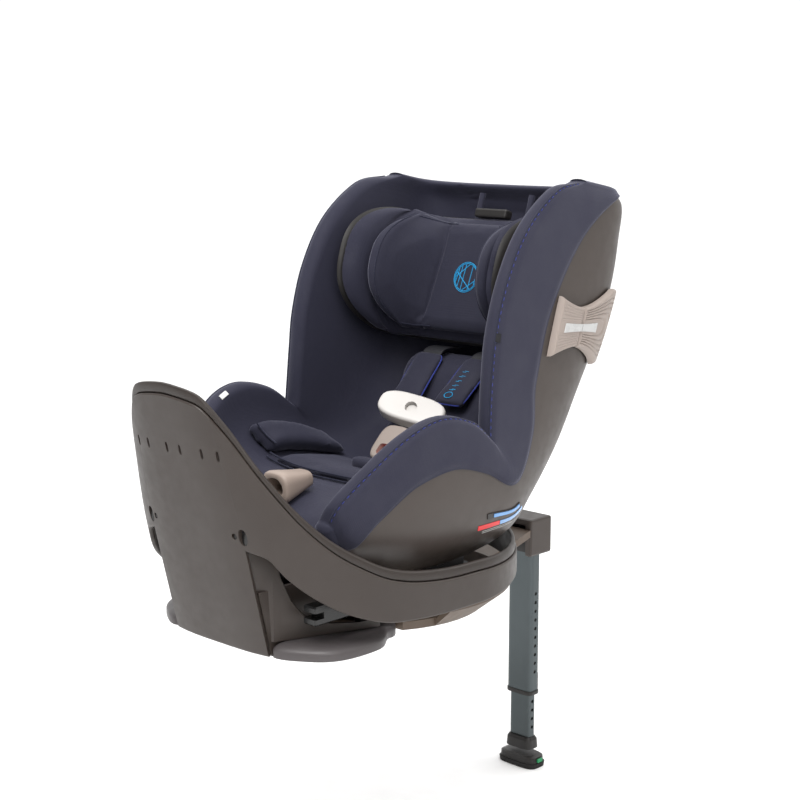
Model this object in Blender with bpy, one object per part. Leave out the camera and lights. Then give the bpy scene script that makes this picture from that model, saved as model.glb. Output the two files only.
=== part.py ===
"""Convertible (rotating) car seat on a rigid-anchor base with a load leg.

Frame: metres, +Z up. The origin lies on the flat underside of the base, on the axis about which
the seat turns. -Y points at the vehicle seat's backrest, which the tall anti-rebound panel leans
on, and the child faces -Y. +Y points at the load leg. +X is the child's left.
"""

import math

import bmesh
import bpy
from mathutils import Matrix, Vector

for leftover in list(bpy.data.objects):
    bpy.data.objects.remove(leftover)

# ---------------------------------------------------------------- driving dimensions
GAP = 0.0003  # clearance between pieces that touch
COLLAR_HALF_WIDTH = 0.215
PANEL_FOOT_REACH = 0.300  # axis to the panel's outer face at floor height
PANEL_LEAN = 0.25  # metres outwards per metre of height
PANEL_POWER = 3.3  # superellipse exponent of the panel's plan
PANEL_NARROWING = 0.16  # share of its width that the panel loses towards its top
CORNER_ANGLE = 165  # where the panel's skin reaches down to the floor
SLOT_X, SLOT_Z = (0.0135, 0.055, 0.081), 0.282
SCREW_X, SCREW_Z = 0.0815, 0.172
BUTTON_X, BUTTON_Z = 0.0950, 0.172
FACING_FRONT = Matrix.Rotation(math.radians(90), 4, "X")  # turns local z to -Y
LIP_DEPTH, LIP_RISE = 0.035, 0.014  # the inner lip below and above the rim
COLLAR_WALL = 0.006
LINER_WALL = 0.003
HOUSING_HALF_WIDTH = 0.095
FLOOR_THICKNESS = 0.012
DISC_RADIUS = 0.165
RECLINE_CENTRE = (0.010, 0.460)  # y, z of the recline axis
SHELL_WALL = 0.006
FOAM_SIDE = 0.018  # outer surface to the foam's inner side, at the flanks
LINER_SIDE = 0.026  # outer surface to the padded cover's inner side
LINER_THICKNESS = 0.010
COVER_THICKNESS = 0.0035
BACK_DIRECTION = Vector((0, 0.29, 0.957)).normalized()  # the headrest slides along this
LEG_Y = 0.360
LEG_PIVOT_Z = 0.022
LEG_TUBE = (0.050, 0.026)
LEG_INNER = (0.042, 0.018)
LEG_BOTTOM = -0.245
FOOT_BOTTOM = -0.370
LEG_HOLES, LEG_HOLE_STEP = 10, 0.015
LEG_BUTTON_Z = -0.228
RAIL_X, RAIL_RADIUS, RUNNER_RADIUS = 0.070, 0.416, 0.4010
HANDLE_AT = (0, -0.1660, 0.2020)
HANDLE_LEAN = 6
PROTECTOR_SPLIT = 0.42  # where its flap hinges, as a share from the centre line to the rim
PROTECTOR_STAND = 0.0095
HEADREST_AT = Vector((0, 0.250, 0.447))  # on the headrest's rear face
RAIL_SPACING, RAIL_FORWARD = 0.050, -0.012
CLIP_AT = Vector((0, 0.088, 0.268))
BUCKLE_AT = Vector((0, 0.046, 0.219))
HEADREST_HALF_HEIGHT = 0.100
HEADREST_HALF_WIDTH = 0.160
WING_REACH = 0.158
INLAY_MIDDLE = 0.40  # share of the inner cushion's columns that lie in its flat middle
INLAY_HALF_HEIGHT = 0.087
INLAY_HALF_WIDTH = 0.113
INLAY_FACE = 0.040  # how far the middle's face stands forward of the headrest's centre line
INLAY_THICKNESS = 0.011
INLAY_REACH = 0.140
LATCH_X = 0.140  # lower anchors stand 280 mm apart
LATCH_Z = 0.060

# Heights of the collar's top and bottom edges by angle from +Y, in degrees.
RIM_HEIGHTS = ((0, .090), (30, .085), (60, .080), (90, .083), (100, .090), (110, .103), (120, .126),
               (130, .158), (140, .203), (150, .262), (160, .320), (170, .350), (180, .358))
BAND_HEIGHTS = ((0, .055), (30, .050), (60, .042), (90, .036), (110, .042), (125, .060),
                (140, .090), (150, .118), (157, .145), (CORNER_ANGLE - 0.5, .152),
                (CORNER_ANGLE, 0), (180, 0))
# Plan of the flat plate beside the housing, and of the skirt that stands on it (x, y, top z).
FOOT_PLATE = ((.097, -.288), (.150, -.271), (.178, -.234), (.181, -.170), (.159, -.132),
              (.154, -.112), (.128, -.089))
SKIRT = ((.0975, -.2870, .146), (.101, -.276, .105), (.106, -.262, .072), (.113, -.243, .047),
         (.125, -.210, .034), (.140, -.172, .030), (.152, -.140, .032))
# Seat sections from the front edge to the top of the back: outer centre line y, z, the rim's
# y, z, the half width, the squareness, where the side cover starts (0 centre, 1 rim), and the
# centre line y, z of the padded inner surface.
SEAT_SECTIONS = (
    (-.205, .128, -.230, .172, .150, 3.6, .34, -.207, .160),
    (-.180, .101, -.225, .200, .166, 3.4, .42, -.190, .172),
    (-.140, .082, -.190, .238, .184, 3.1, .62, -.155, .184),
    (-.070, .061, -.138, .282, .206, 3.0, .73, -.100, .190),
    (.000, .053, -.080, .300, .214, 3.0, .74, -.045, .186),
    (.080, .059, -.020, .288, .215, 3.0, .70, .015, .178),
    (.146, .079, .020, .262, .213, 3.0, .62, .080, .170),
    (.196, .131, .028, .262, .210, 3.2, .58, .145, .178),
    (.250, .205, .032, .300, .208, 3.8, .60, .203, .226),
    (.292, .295, .037, .352, .207, 4.8, .66, .250, .306),
    (.330, .380, .045, .410, .207, 6.0, .66, .286, .386),
    (.356, .460, .068, .477, .207, 7.0, .62, .310, .464),
    (.369, .525, .112, .544, .206, 7.0, .56, .324, .526),
    (.372, .572, .178, .594, .203, 7.0, .48, .330, .570),
    (.350, .594, .245, .614, .195, 6.0, .44, .316, .597),
)


# ---------------------------------------------------------------- small tools
def interpolate(table, x):
    """The value at x of a table of (x, value) pairs, straight between its rows."""
    for (x0, y0), (x1, y1) in zip(table, table[1:]):
        if x <= x1:
            t = min(max((x - x0) / (x1 - x0), 0), 1)
            return y0 + (y1 - y0) * t
    return table[-1][1]


def spline(rows, t):
    """Catmull-Rom value at t (0 to 1) through equally spaced rows of numbers."""
    last = len(rows) - 1
    place = min(max(t, 0), 1) * last
    i = min(int(place), last - 1)
    u = place - i
    p1, p2 = rows[i], rows[i + 1]
    p0 = rows[i - 1] if i else tuple(2 * a - b for a, b in zip(p1, p2))
    p3 = rows[i + 2] if i + 2 <= last else tuple(2 * b - a for a, b in zip(p1, p2))
    return [0.5 * (2 * b + (c - a) * u + (2 * a - 5 * b + 4 * c - d) * u * u
                   + (3 * b - a - 3 * c + d) * u ** 3) for a, b, c, d in zip(p0, p1, p2, p3)]


def smooth_step(t):
    t = min(max(t, 0), 1)
    return t * t * (3 - 2 * t)


def linked(name, mesh, material, smooth=True):
    mesh.materials.append(material)
    obj = bpy.data.objects.new(name, mesh)
    bpy.context.scene.collection.objects.link(obj)
    if smooth:
        mesh.shade_smooth()
        mesh.set_sharp_from_angle(angle=math.radians(35))
    return obj


def from_faces(name, points, faces, material):
    """A closed solid from points and faces, with its faces pointing out."""
    mesh = bpy.data.meshes.new(name)
    bm = bmesh.new()
    corners = [bm.verts.new(p) for p in points]
    for face in faces:
        bm.faces.new([corners[i] for i in face])
    bmesh.ops.remove_doubles(bm, verts=bm.verts, dist=1e-6)
    bmesh.ops.recalc_face_normals(bm, faces=bm.faces)
    bm.to_mesh(mesh)
    bm.free()
    return linked(name, mesh, material)


def sheet(name, outer, inner, material, closed=False):
    """A solid wall between two grids of points; closed joins the last column to the first."""
    rows, cols = len(outer), len(outer[0])
    points = [p for grid in (outer, inner) for row in grid for p in row]

    def at(side, r, c):
        return side * rows * cols + r * cols + c

    faces = []
    for c in range(cols if closed else cols - 1):
        n = (c + 1) % cols
        for r in range(rows - 1):
            for side in (0, 1):
                faces.append((at(side, r, c), at(side, r + 1, c), at(side, r + 1, n),
                              at(side, r, n)))
        for r in (0, rows - 1):
            faces.append((at(0, r, c), at(0, r, n), at(1, r, n), at(1, r, c)))
    for c in () if closed else (0, cols - 1):
        for r in range(rows - 1):
            faces.append((at(0, r, c), at(0, r + 1, c), at(1, r + 1, c), at(1, r, c)))
    return from_faces(name, points, faces, material)


def loft(name, loops, material):
    """A solid through closed loops of points, flat-capped at both ends."""
    count = len(loops[0])
    points = [p for loop in loops for p in loop]
    faces = [tuple(range(count)), tuple(range((len(loops) - 1) * count, len(loops) * count))]
    for k in range(len(loops) - 1):
        for i in range(count):
            j = (i + 1) % count
            faces.append((k * count + i, k * count + j, (k + 1) * count + j, (k + 1) * count + i))
    return from_faces(name, points, faces, material)


def from_outline(name, outline, low, high, material):
    """An upright solid from an outline of (x, y) corners."""
    return loft(name, [[(x, y, z) for x, y in outline] for z in (low, high)], material)


def rounded(half_a, half_b, power=4.0, count=24):
    """A superellipse outline as (a, b) pairs."""
    outline = []
    for i in range(count):
        angle = 2 * math.pi * (i + 0.5) / count
        c, s = math.cos(angle), math.sin(angle)
        outline.append((math.copysign(half_a * abs(c) ** (2 / power), c),
                        math.copysign(half_b * abs(s) ** (2 / power), s)))
    return outline


def stack(name, layers, material, turn=None, at=(0, 0, 0), count=24):
    """A loft along local z: layers are (z, half_x, half_y, power), placed by turn and at."""
    place = Matrix.Translation(at) @ (turn or Matrix.Identity(4))
    loops = [[place @ Vector((a, b, z)) for a, b in rounded(hx, hy, power, count)]
             for z, hx, hy, power in layers]
    return loft(name, loops, material)


def rod(name, radius, start, end, material, count=20):
    """A round bar from start to end."""
    start, end = Vector(start), Vector(end)
    turn = (end - start).to_track_quat("Z", "Y").to_matrix().to_4x4()
    layers = [(0, radius, radius, 2), ((end - start).length, radius, radius, 2)]
    return stack(name, layers, material, turn, start, count)


def ring(name, inner, outer, low, high, material, count=48):
    """A flat ring about the turning axis."""
    profile = ((inner, low), (outer, low), (outer, high), (inner, high))
    points, faces = [], []
    for i in range(count):
        angle = 2 * math.pi * i / count
        points += [(r * math.cos(angle), r * math.sin(angle), z) for r, z in profile]
        for k in range(4):
            j, n = (k + 1) % 4, (i + 1) % count
            faces.append((i * 4 + k, i * 4 + j, n * 4 + j, n * 4 + k))
    return from_faces(name, points, faces, material)


def block(name, low, high, material, bevel=0.0, segments=2):
    """A box between two corners, with an optional bevel."""
    mesh = bpy.data.meshes.new(name)
    bm = bmesh.new()
    bmesh.ops.create_cube(bm, size=1)
    size = [h - l for l, h in zip(low, high)]
    middle = [(h + l) / 2 for l, h in zip(low, high)]
    bmesh.ops.scale(bm, vec=size, verts=bm.verts)
    bmesh.ops.translate(bm, vec=middle, verts=bm.verts)
    if bevel:
        bmesh.ops.bevel(bm, geom=bm.edges[:], offset=bevel, segments=segments, affect="EDGES",
                        profile=0.5)
    bm.to_mesh(mesh)
    bm.free()
    return linked(name, mesh, material)


def cutter(obj):
    obj.hide_render = True
    obj.display_type = "WIRE"
    return obj


def boolean(obj, other, operation="DIFFERENCE"):
    modifier = obj.modifiers.new(operation.lower(), "BOOLEAN")
    modifier.object = other
    modifier.operation = operation


def on_axis(obj, point):
    """Puts an object's origin on its joint's axis and leaves its shape where it is."""
    obj.data.transform(Matrix.Translation(-Vector(point)))
    obj.location = point
    return obj


# ---------------------------------------------------------------- materials
def material(name, colour, roughness=0.6, metallic=0.0):
    made = bpy.data.materials.new(name)
    made.use_nodes = True
    bsdf = made.node_tree.nodes["Principled BSDF"]
    bsdf.inputs["Base Color"].default_value = (*colour, 1)
    bsdf.inputs["Roughness"].default_value = roughness
    bsdf.inputs["Metallic"].default_value = metallic
    return made


PLASTIC = material("warm_grey_plastic", (0.085, 0.076, 0.068), 0.42)
DARK_PLASTIC = material("dark_plastic", (0.028, 0.026, 0.025), 0.45)
FOOT_PLASTIC = material("light_grey_plastic", (0.150, 0.142, 0.140), 0.45)
TAUPE = material("taupe_plastic", (0.360, 0.305, 0.265), 0.45)
SIDE_BEIGE = material("beige_plastic", (0.560, 0.480, 0.440), 0.50)
WHITE = material("white_plastic", (0.780, 0.760, 0.730), 0.35)
RED = material("red_plastic", (0.620, 0.020, 0.020), 0.40)
GREEN = material("green_indicator", (0.020, 0.300, 0.100), 0.40)
BLUE = material("blue_window", (0.120, 0.330, 0.620), 0.35)
STEEL = material("zinc_plated_steel", (0.550, 0.550, 0.560), 0.30, 1.0)
ALUMINIUM = material("anodised_aluminium", (0.190, 0.250, 0.300), 0.32, 1.0)
RUBBER = material("rubber", (0.020, 0.020, 0.020), 0.85)
FABRIC = material("navy_fabric", (0.022, 0.024, 0.048), 0.80)
INLAY_FABRIC = material("navy_inlay_fabric", (0.018, 0.020, 0.042), 0.80)
WEBBING = material("black_webbing", (0.015, 0.015, 0.018), 0.75)
FOAM = material("energy_foam", (0.060, 0.060, 0.065), 0.90)


# ---------------------------------------------------------------- base
def collar_half_width(z):
    return COLLAR_HALF_WIDTH * (1 - PANEL_NARROWING * smooth_step((z - 0.14) / 0.22))


def collar_point(angle, z, inset=0.0):
    """A point of the wrap-round wall, by its angle from +Y towards +X in degrees."""
    s, c = math.sin(math.radians(angle)), math.cos(math.radians(angle))
    if c >= 0:
        return ((COLLAR_HALF_WIDTH - inset) * s, (COLLAR_HALF_WIDTH - inset) * c, z)
    bend = 2 / PANEL_POWER
    x = math.copysign((collar_half_width(z) - inset) * abs(s) ** bend, s)
    return (x, -(PANEL_FOOT_REACH + PANEL_LEAN * z - inset) * abs(c) ** bend, z)


def collar_angles():
    """Columns round the wall, closer together at the panel's lower corners."""
    half = [0, 12, 24, 36, 48, 60, 72, 84, 92, 100, 108, 116, 123, 130, 136, 142, 147, 152, 156,
            160, CORNER_ANGLE - 0.5, CORNER_ANGLE, 168, 172, 176, 180]
    return [-a for a in reversed(half[1:-1])] + half


def collar_wall(name, low, high, outer, inner, rows, finish):
    """A closed band between two insets, from height low(angle) to high(angle)."""
    grids = [[[collar_point(a, low(a) + (high(a) - low(a)) * r / rows, inset)
               for a in collar_angles()] for r in range(rows + 1)] for inset in (outer, inner)]
    return sheet(name, *grids, finish, closed=True)


def panel_share(x):
    """How far out the panel stands at x, as a share of its middle."""
    s = (abs(x) / COLLAR_HALF_WIDTH) ** (PANEL_POWER / 2)
    return math.sqrt(1 - s * s) ** (2 / PANEL_POWER)


def panel_face(x, z):
    """Where the panel's outer face lies along y."""
    return -(PANEL_FOOT_REACH + PANEL_LEAN * z) * panel_share(x)


def rim_height(angle):
    return interpolate(RIM_HEIGHTS, abs(angle))


def band_height(angle):
    return interpolate(BAND_HEIGHTS, abs(angle))


def base_collar():
    """The wrap-round wall: a low band round the seat that rises into the anti-rebound panel."""
    wall = collar_wall("base_collar", band_height, rim_height, 0, COLLAR_WALL, 4, PLASTIC)
    for x in SLOT_X:
        for side in (-1, 1):
            slot = block(f"slot_cutter_{x}_{side}", (side * x - .003, -.42, SLOT_Z - .009),
                         (side * x + .003, -.34, SLOT_Z + .009), DARK_PLASTIC)
            boolean(wall, cutter(slot))
    for side in (-1, 1):
        x = side * SCREW_X
        hole = rod(f"screw_hole_cutter_{side}", .0040, (x, -.30, SCREW_Z), (x, -.38, SCREW_Z), PLASTIC,
                   14)
        boolean(wall, cutter(hole))
        well = stack(f"button_well_cutter_{side}", [(-.05, .0064, .0114, 2.4), (.05, .0064, .0114, 2.4)],
                     PLASTIC, FACING_FRONT, (side * BUTTON_X, -.335, BUTTON_Z), 20)
        boolean(wall, cutter(well))
    return wall


def collar_liner():
    """The inner lip, standing just proud of the wall's rim."""
    outer = COLLAR_WALL + 3 * GAP
    return collar_wall("collar_liner", lambda a: rim_height(a) - LIP_DEPTH,
                       lambda a: rim_height(a) + LIP_RISE, outer, outer + LINER_WALL, 2, DARK_PLASTIC)


def housing_outline(half_width, back, reach, z):
    """Plan of the anchor housing, whose front leans out with the panel."""
    share = panel_share(half_width)
    front = reach - (PANEL_FOOT_REACH + PANEL_LEAN * z) * share
    return [(x, y, z) for x, y in ((-half_width, back), (-half_width, front), (half_width, front),
                                   (half_width, back))]


def base_housing():
    """The box behind the panel, open at the top and the back, with the skirts beside it."""
    back, wall = -.182, .005
    reach = COLLAR_WALL + GAP
    box = loft("base_housing", [housing_outline(HOUSING_HALF_WIDTH, back, reach, z)
                                for z in (0, .092)], PLASTIC)
    hollow = loft("housing_hollow_cutter", [
        housing_outline(HOUSING_HALF_WIDTH - wall, back + .010, reach + wall, z)
        for z in (wall, .100)], PLASTIC)
    boolean(box, cutter(hollow))
    for side in (-1, 1):
        boolean(box, cutter(side_skirt(f"skirt_cutter_{side}", side)), "UNION")
    return box


def base_floor():
    """The flat floor that carries the turntable and runs back to the load leg."""
    radius = DISC_RADIUS + .004
    side = [(radius * math.sin(math.radians(a)), radius * math.cos(math.radians(a)))
            for a in range(121, 14, -8)]
    half = [(.1125, -.1815), (.1268, -.0880)] + side
    outline = half + [(-x, y) for x, y in reversed(half)]
    floor = from_outline("base_floor", outline, 0, FLOOR_THICKNESS, DARK_PLASTIC)
    boolean(floor, cutter(floor_neck()), "UNION")
    boolean(floor, cutter(floor_pan()), "UNION")
    return floor


def floor_pan():
    """The flared underside that runs from the floor's edge up to the wrap-round wall."""
    profile = ((DISC_RADIUS, .0005), (DISC_RADIUS + .0042, .0005), (.2068, .0300), (.2068, .0350),
               (.2030, .0350), (DISC_RADIUS + .0020, .0085), (DISC_RADIUS, .0085))
    loops = []
    for angle in steps(-104, 104, 40):
        s, c = math.sin(math.radians(angle)), math.cos(math.radians(angle))
        loops.append([(r * s, r * c, z) for r, z in profile])
    return loft("floor_pan_cutter", loops, DARK_PLASTIC)


def floor_neck():
    """The arm from the floor up to the leg housing, high enough for the leg to fold under it."""
    sections = ((DISC_RADIUS - .0100, .036, -.001), (.172, .038, .002), (.215, .044, .012),
                (.280, .044, .026), (LEG_Y - .0315, .037, .034))
    loops = [[(x, y, z) for x, z in ((-half, low), (half, low), (half, low + FLOOR_THICKNESS),
                                     (-half, low + FLOOR_THICKNESS))] for y, half, low in sections]
    return loft("floor_neck_cutter", loops, DARK_PLASTIC)


def side_skirt(name, side):
    """The low wall between the panel's corner and the band, below the anchor's opening."""
    low = .0198
    wall = .004
    outer = [[(side * x, y, z) for x, y, z in SKIRT], [(side * x, y, low) for x, y, z in SKIRT]]
    inner = [[(side * (x - wall), y + wall, z) for x, y, z in SKIRT],
             [(side * (x - wall), y + wall, low) for x, y, z in SKIRT]]
    return sheet(name, outer, inner, PLASTIC)


def side_foot(name, side):
    """A flat plate beside the housing that spreads the load on the vehicle seat."""
    outline = [(side * x, y) for x, y in FOOT_PLATE]
    inner = [(side * (x * .82 + .095 * .18), y * .82 - .19 * .18) for x, y in FOOT_PLATE]
    loops = [[(x, y, z) for x, y in outline] for z in (0, .009)] + [[(x, y, .0195) for x, y in inner]]
    return loft(name, loops, FOOT_PLASTIC)


def leg_housing():
    """The block at the back of the floor that holds the load leg's pivot."""
    half = 0.0375
    body = block("leg_housing", (-half, .3288, 0), (half, .384, .062), PLASTIC, .004)
    slot = block("leg_slot_cutter", (-.0265, .320, -.010), (.0265, .3785, .0525), PLASTIC)
    boolean(body, cutter(slot))
    return body


def leg_pivot_pin():
    """The pin through the tube's top, held between the housing's cheeks."""
    half = LEG_TUBE[0] / 2 + .0012
    return rod("leg_pivot_pin", .004, (-half, LEG_Y, LEG_PIVOT_Z), (half, LEG_Y, LEG_PIVOT_Z), STEEL)


def latch_guide(name, side):
    """The channel that a rigid-anchor arm slides in, fixed to the floor's edge."""
    x = side * LATCH_X
    guide = block(name, (x - .016, -.178, LATCH_Z - .016), (x + .016, -.118, LATCH_Z + .016),
                  DARK_PLASTIC)
    near, far = sorted((side * .1245, side * .1345))
    post = block(name + "_post_cutter", (near, -.162, .0198), (far, -.146, LATCH_Z - .015),
                 DARK_PLASTIC)
    bore = block(name + "_bore_cutter", (x - .0123, -.20, LATCH_Z - .0133),
                 (x + .0123, -.06, LATCH_Z + .0133), DARK_PLASTIC)
    boolean(guide, cutter(post), "UNION")
    boolean(guide, cutter(bore))
    return guide


def panel_screw(name, side):
    """The screw that holds the panel's skin to the housing, in its well."""
    x = side * SCREW_X
    face = panel_face(x, SCREW_Z)
    return rod(name, .0034, (x, face + .002, SCREW_Z), (x, face + .012, SCREW_Z), STEEL, 12)


# ---------------------------------------------------------------- rigid anchors
def latch_arm(name, side):
    """The steel arm with its open claw."""
    x = side * LATCH_X
    arm = block(name, (x - .012, -.262, LATCH_Z - .013), (x + .012, -.120, LATCH_Z + .013), STEEL,
                .002, 1)
    jaw = block(name + "_jaw_cutter", (x - .020, -.280, LATCH_Z - .0045),
                (x + .020, -.246, LATCH_Z + .0045), STEEL)
    boolean(arm, cutter(jaw))
    return arm


def latch_indicator(name, side):
    """The small window on the arm that shows whether the claw is locked."""
    x = side * LATCH_X
    return block(name, (x - .004, -.215, LATCH_Z + .0133), (x + .004, -.203, LATCH_Z + .0148), RED)


def latch_button(name, side):
    """The oval release button in its hole in the panel, beside the outer screw."""
    button = stack(name, [(-.014, .0058, .0108, 2.4), (-.004, .0058, .0108, 2.4)], DARK_PLASTIC,
                   FACING_FRONT, (0, 0, 0), 20)
    button.location = (side * BUTTON_X, panel_face(BUTTON_X, BUTTON_Z), BUTTON_Z)
    return button


# ---------------------------------------------------------------- load leg
def leg_outer_tube():
    """The flattened upper tube with its row of holes on one narrow face."""
    hx, hy = LEG_TUBE[0] / 2, LEG_TUBE[1] / 2
    centre = (0, LEG_Y, 0)
    tube = stack("leg_outer_tube", [(LEG_BOTTOM, hx, hy, 5), (.0340, hx, hy, 5)], ALUMINIUM, None,
                 centre, 28)
    bore = stack("leg_bore_cutter", [(LEG_BOTTOM - .01, hx - .003, hy - .003, 5),
                                     (-.0030, hx - .003, hy - .003, 5)], ALUMINIUM, None, centre, 28)
    pivot = rod("leg_pivot_cutter", .0043, (-.04, LEG_Y, LEG_PIVOT_Z), (.04, LEG_Y, LEG_PIVOT_Z),
                ALUMINIUM)
    boolean(tube, cutter(bore))
    boolean(tube, cutter(pivot))
    for k in range(LEG_HOLES):
        z = -.070 - LEG_HOLE_STEP * k
        hole = rod(f"leg_hole_cutter_{k}", .003, (hx - .008, LEG_Y, z), (hx + .004, LEG_Y, z),
                   ALUMINIUM, 10)
        boolean(tube, cutter(hole))
    return tube


def leg_inner_tube():
    """The lower tube, which slides in the upper one."""
    hx, hy = LEG_INNER[0] / 2, LEG_INNER[1] / 2
    centre = (0, LEG_Y, 0)
    tube = stack("leg_inner_tube", [(-.3197, hx, hy, 5), (-.075, hx, hy, 5)], ALUMINIUM, None,
                 centre, 28)
    for k in range(4):
        z = -.258 - LEG_HOLE_STEP * k
        hole = rod(f"inner_hole_cutter_{k}", .003, (hx - .010, LEG_Y, z), (hx + .004, LEG_Y, z),
                   ALUMINIUM, 10)
        boolean(tube, cutter(hole))
    return tube


def foot_stem():
    """The collar between the lower tube and the sprung foot."""
    stem = stack("foot_stem", [(-.3397, .026, .016, 4), (-.325, .025, .015, 4), (-.320, .022, .012, 4)],
                 DARK_PLASTIC, None, (0, LEG_Y, 0), 24)
    return stem


def foot_shoe():
    """The sprung foot body, which rises under load and turns its indicator."""
    return stack("foot_shoe", [(-.3617, .037, .020, 4), (-.352, .036, .0195, 4), (-.3497, .028, .017, 4)],
                 DARK_PLASTIC, None, (0, LEG_Y, 0), 28)


def foot_sole():
    return stack("foot_sole", [(FOOT_BOTTOM, .038, .021, 4), (-.362, .039, .022, 4)], RUBBER, None,
                 (0, LEG_Y, 0), 28)


def foot_indicator():
    return block("foot_indicator", (.0373, LEG_Y - .006, -.3600), (.0395, LEG_Y + .006, -.3540),
                 GREEN)


def leg_button():
    """The release button that lets the lower tube slide, on the upper tube's outer broad face."""
    y = LEG_Y + LEG_TUBE[1] / 2
    turn = Matrix.Rotation(math.radians(-90), 4, "X")
    button = stack("leg_button", [(0, .009, .012, 3), (.005, .009, .012, 3), (.006, .008, .011, 3)],
                   FOOT_PLASTIC, turn, (0, 0, 0), 16)
    button.location = (0, y + .0063, LEG_BUTTON_Z)
    return button


def leg_clamp():
    """The moulded plate at the foot of the upper tube, with a pocket for the release button."""
    face = LEG_Y + LEG_TUBE[1] / 2
    clamp = block("leg_clamp", (-.018, face + GAP, -.243), (.018, face + .006, -.212),
                  DARK_PLASTIC, .001, 1)
    turn = Matrix.Rotation(math.radians(-90), 4, "X")
    pocket = stack("clamp_pocket_cutter", [(.0015, .0094, .0124, 3), (.010, .0094, .0124, 3)],
                   DARK_PLASTIC, turn, (0, 0, 0), 16)
    pocket.location = (0, face, LEG_BUTTON_Z)
    boolean(clamp, cutter(pocket))
    return clamp


# ---------------------------------------------------------------- turntable and recline
def turntable_disc():
    """The disc under the seat, with the two curved rails that the seat tips along."""
    disc = ring("turntable_disc", .020, DISC_RADIUS, .0206, .0320, DARK_PLASTIC, 40)
    for side in (-1, 1):
        boolean(disc, cutter(recline_rail(f"rail_cutter_{side}", side)), "UNION")
    return disc


def turntable_track():
    """The ring that the disc turns on."""
    return ring("turntable_track", .110, .130, FLOOR_THICKNESS + GAP, .0203, STEEL, 36)


def turntable_hub():
    """The centre post that keeps the disc on its axis."""
    low, high = FLOOR_THICKNESS + GAP, .0340
    return stack("turntable_hub", [(low, .0195, .0195, 2), (high, .0195, .0195, 2)], STEEL, None,
                 (0, 0, 0), 40)


def arc_bar(name, x, width, inner, outer, start, end, material, count=14):
    """A bar bent about the recline axis; start and end are y places of its ends."""
    cy, cz = RECLINE_CENTRE
    first, last = (math.asin((y - cy) / outer) for y in (start, end))
    loops = []
    for i in range(count + 1):
        angle = first + (last - first) * i / count
        loops.append([(x + dx, cy + r * math.sin(angle), cz - r * math.cos(angle))
                      for dx, r in ((-width / 2, inner), (width / 2, inner), (width / 2, outer),
                                    (-width / 2, outer))])
    return loft(name, loops, material)


def recline_rail(name, side):
    """A curved rail, its top an arc about the recline axis."""
    cy, cz = RECLINE_CENTRE
    x = side * RAIL_X
    rows = []
    for i in range(13):
        y = -.120 + .240 * i / 12
        top = cz - math.sqrt(RAIL_RADIUS ** 2 - (y - cy) ** 2)
        rows.append([(x - .006, y, .0310), (x + .006, y, .0310), (x + .006, y, top),
                     (x - .006, y, top)])
    return loft(name, rows, DARK_PLASTIC)


def recline_runner(name, side):
    """The curved runner under the shell that rides on the rail."""
    return arc_bar(name, side * RAIL_X, .020, RUNNER_RADIUS, RAIL_RADIUS - .0005, -.100, .130,
                   DARK_PLASTIC)


# ---------------------------------------------------------------- seat
def seat_point(u, v, side=0.0, back=0.0, front=None):
    """A point of the bucket: u is -1 to 1 across, v is 0 to 1 from the front edge to the top.

    side moves the flanks in. back moves the centre line in from the outer surface, and front
    moves it out again from the padded inner surface.
    """
    oy, oz, ry, rz, width, power, _, iy, iz = spline(SEAT_SECTIONS, v)
    depth = math.hypot(iy - oy, iz - oz)
    share = back / depth if front is None else 1 - front / depth
    sy, sz = oy + (iy - oy) * share, oz + (iz - oz) * share
    angle = abs(u) * math.pi / 2
    x = math.copysign((width - side) * math.sin(angle) ** (2 / power), u)
    t = 1 - math.cos(angle) ** (2 / power)
    return (x, sy + (ry - sy) * t, sz + (rz - sz) * t)


def steps(low, high, count):
    return [low + (high - low) * i / count for i in range(count + 1)]


def bucket(name, outer, inner, finish, rows=22, cols=16):
    """One layer of the bucket between two offsets."""
    grids = [[[seat_point(u, v, **offset) for u in steps(-1, 1, cols)] for v in steps(0, 1, rows)]
             for offset in (outer, inner)]
    return sheet(name, *grids, finish)


def seat_shell():
    """The hard bucket, with the curved runners under it."""
    shell = bucket("seat_shell", {}, {"side": SHELL_WALL, "back": SHELL_WALL}, PLASTIC)
    for side in (-1, 1):
        boolean(shell, cutter(recline_runner(f"runner_cutter_{side}", side)), "UNION")
    return shell


def seat_foam():
    edge = SHELL_WALL + GAP
    return bucket("seat_foam", {"side": edge, "back": edge},
                  {"side": FOAM_SIDE, "front": LINER_THICKNESS + GAP}, FOAM)


def seat_liner():
    """The padded fabric cover inside the bucket."""
    return bucket("seat_liner", {"side": FOAM_SIDE + GAP, "front": LINER_THICKNESS},
                  {"side": LINER_SIDE, "front": 0.0}, FABRIC)


def cover_start(v):
    """Where across the section the outer side cover begins."""
    power, share = spline(SEAT_SECTIONS, v)[5:7]
    return math.acos((1 - share) ** (power / 2)) / (math.pi / 2)


def side_cover(name, side):
    """The fabric over the outer flank, from the shell's exposed part up to the rim."""
    def grid(offset):
        return [[seat_point(side * (start + (1 - start) * k / 4), v, side=-offset)
                 for k in range(5)] for v, start in ((v, cover_start(v)) for v in steps(0, 1, 22))]
    return sheet(name, grid(6 * GAP + COVER_THICKNESS), grid(6 * GAP), FABRIC)


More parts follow.
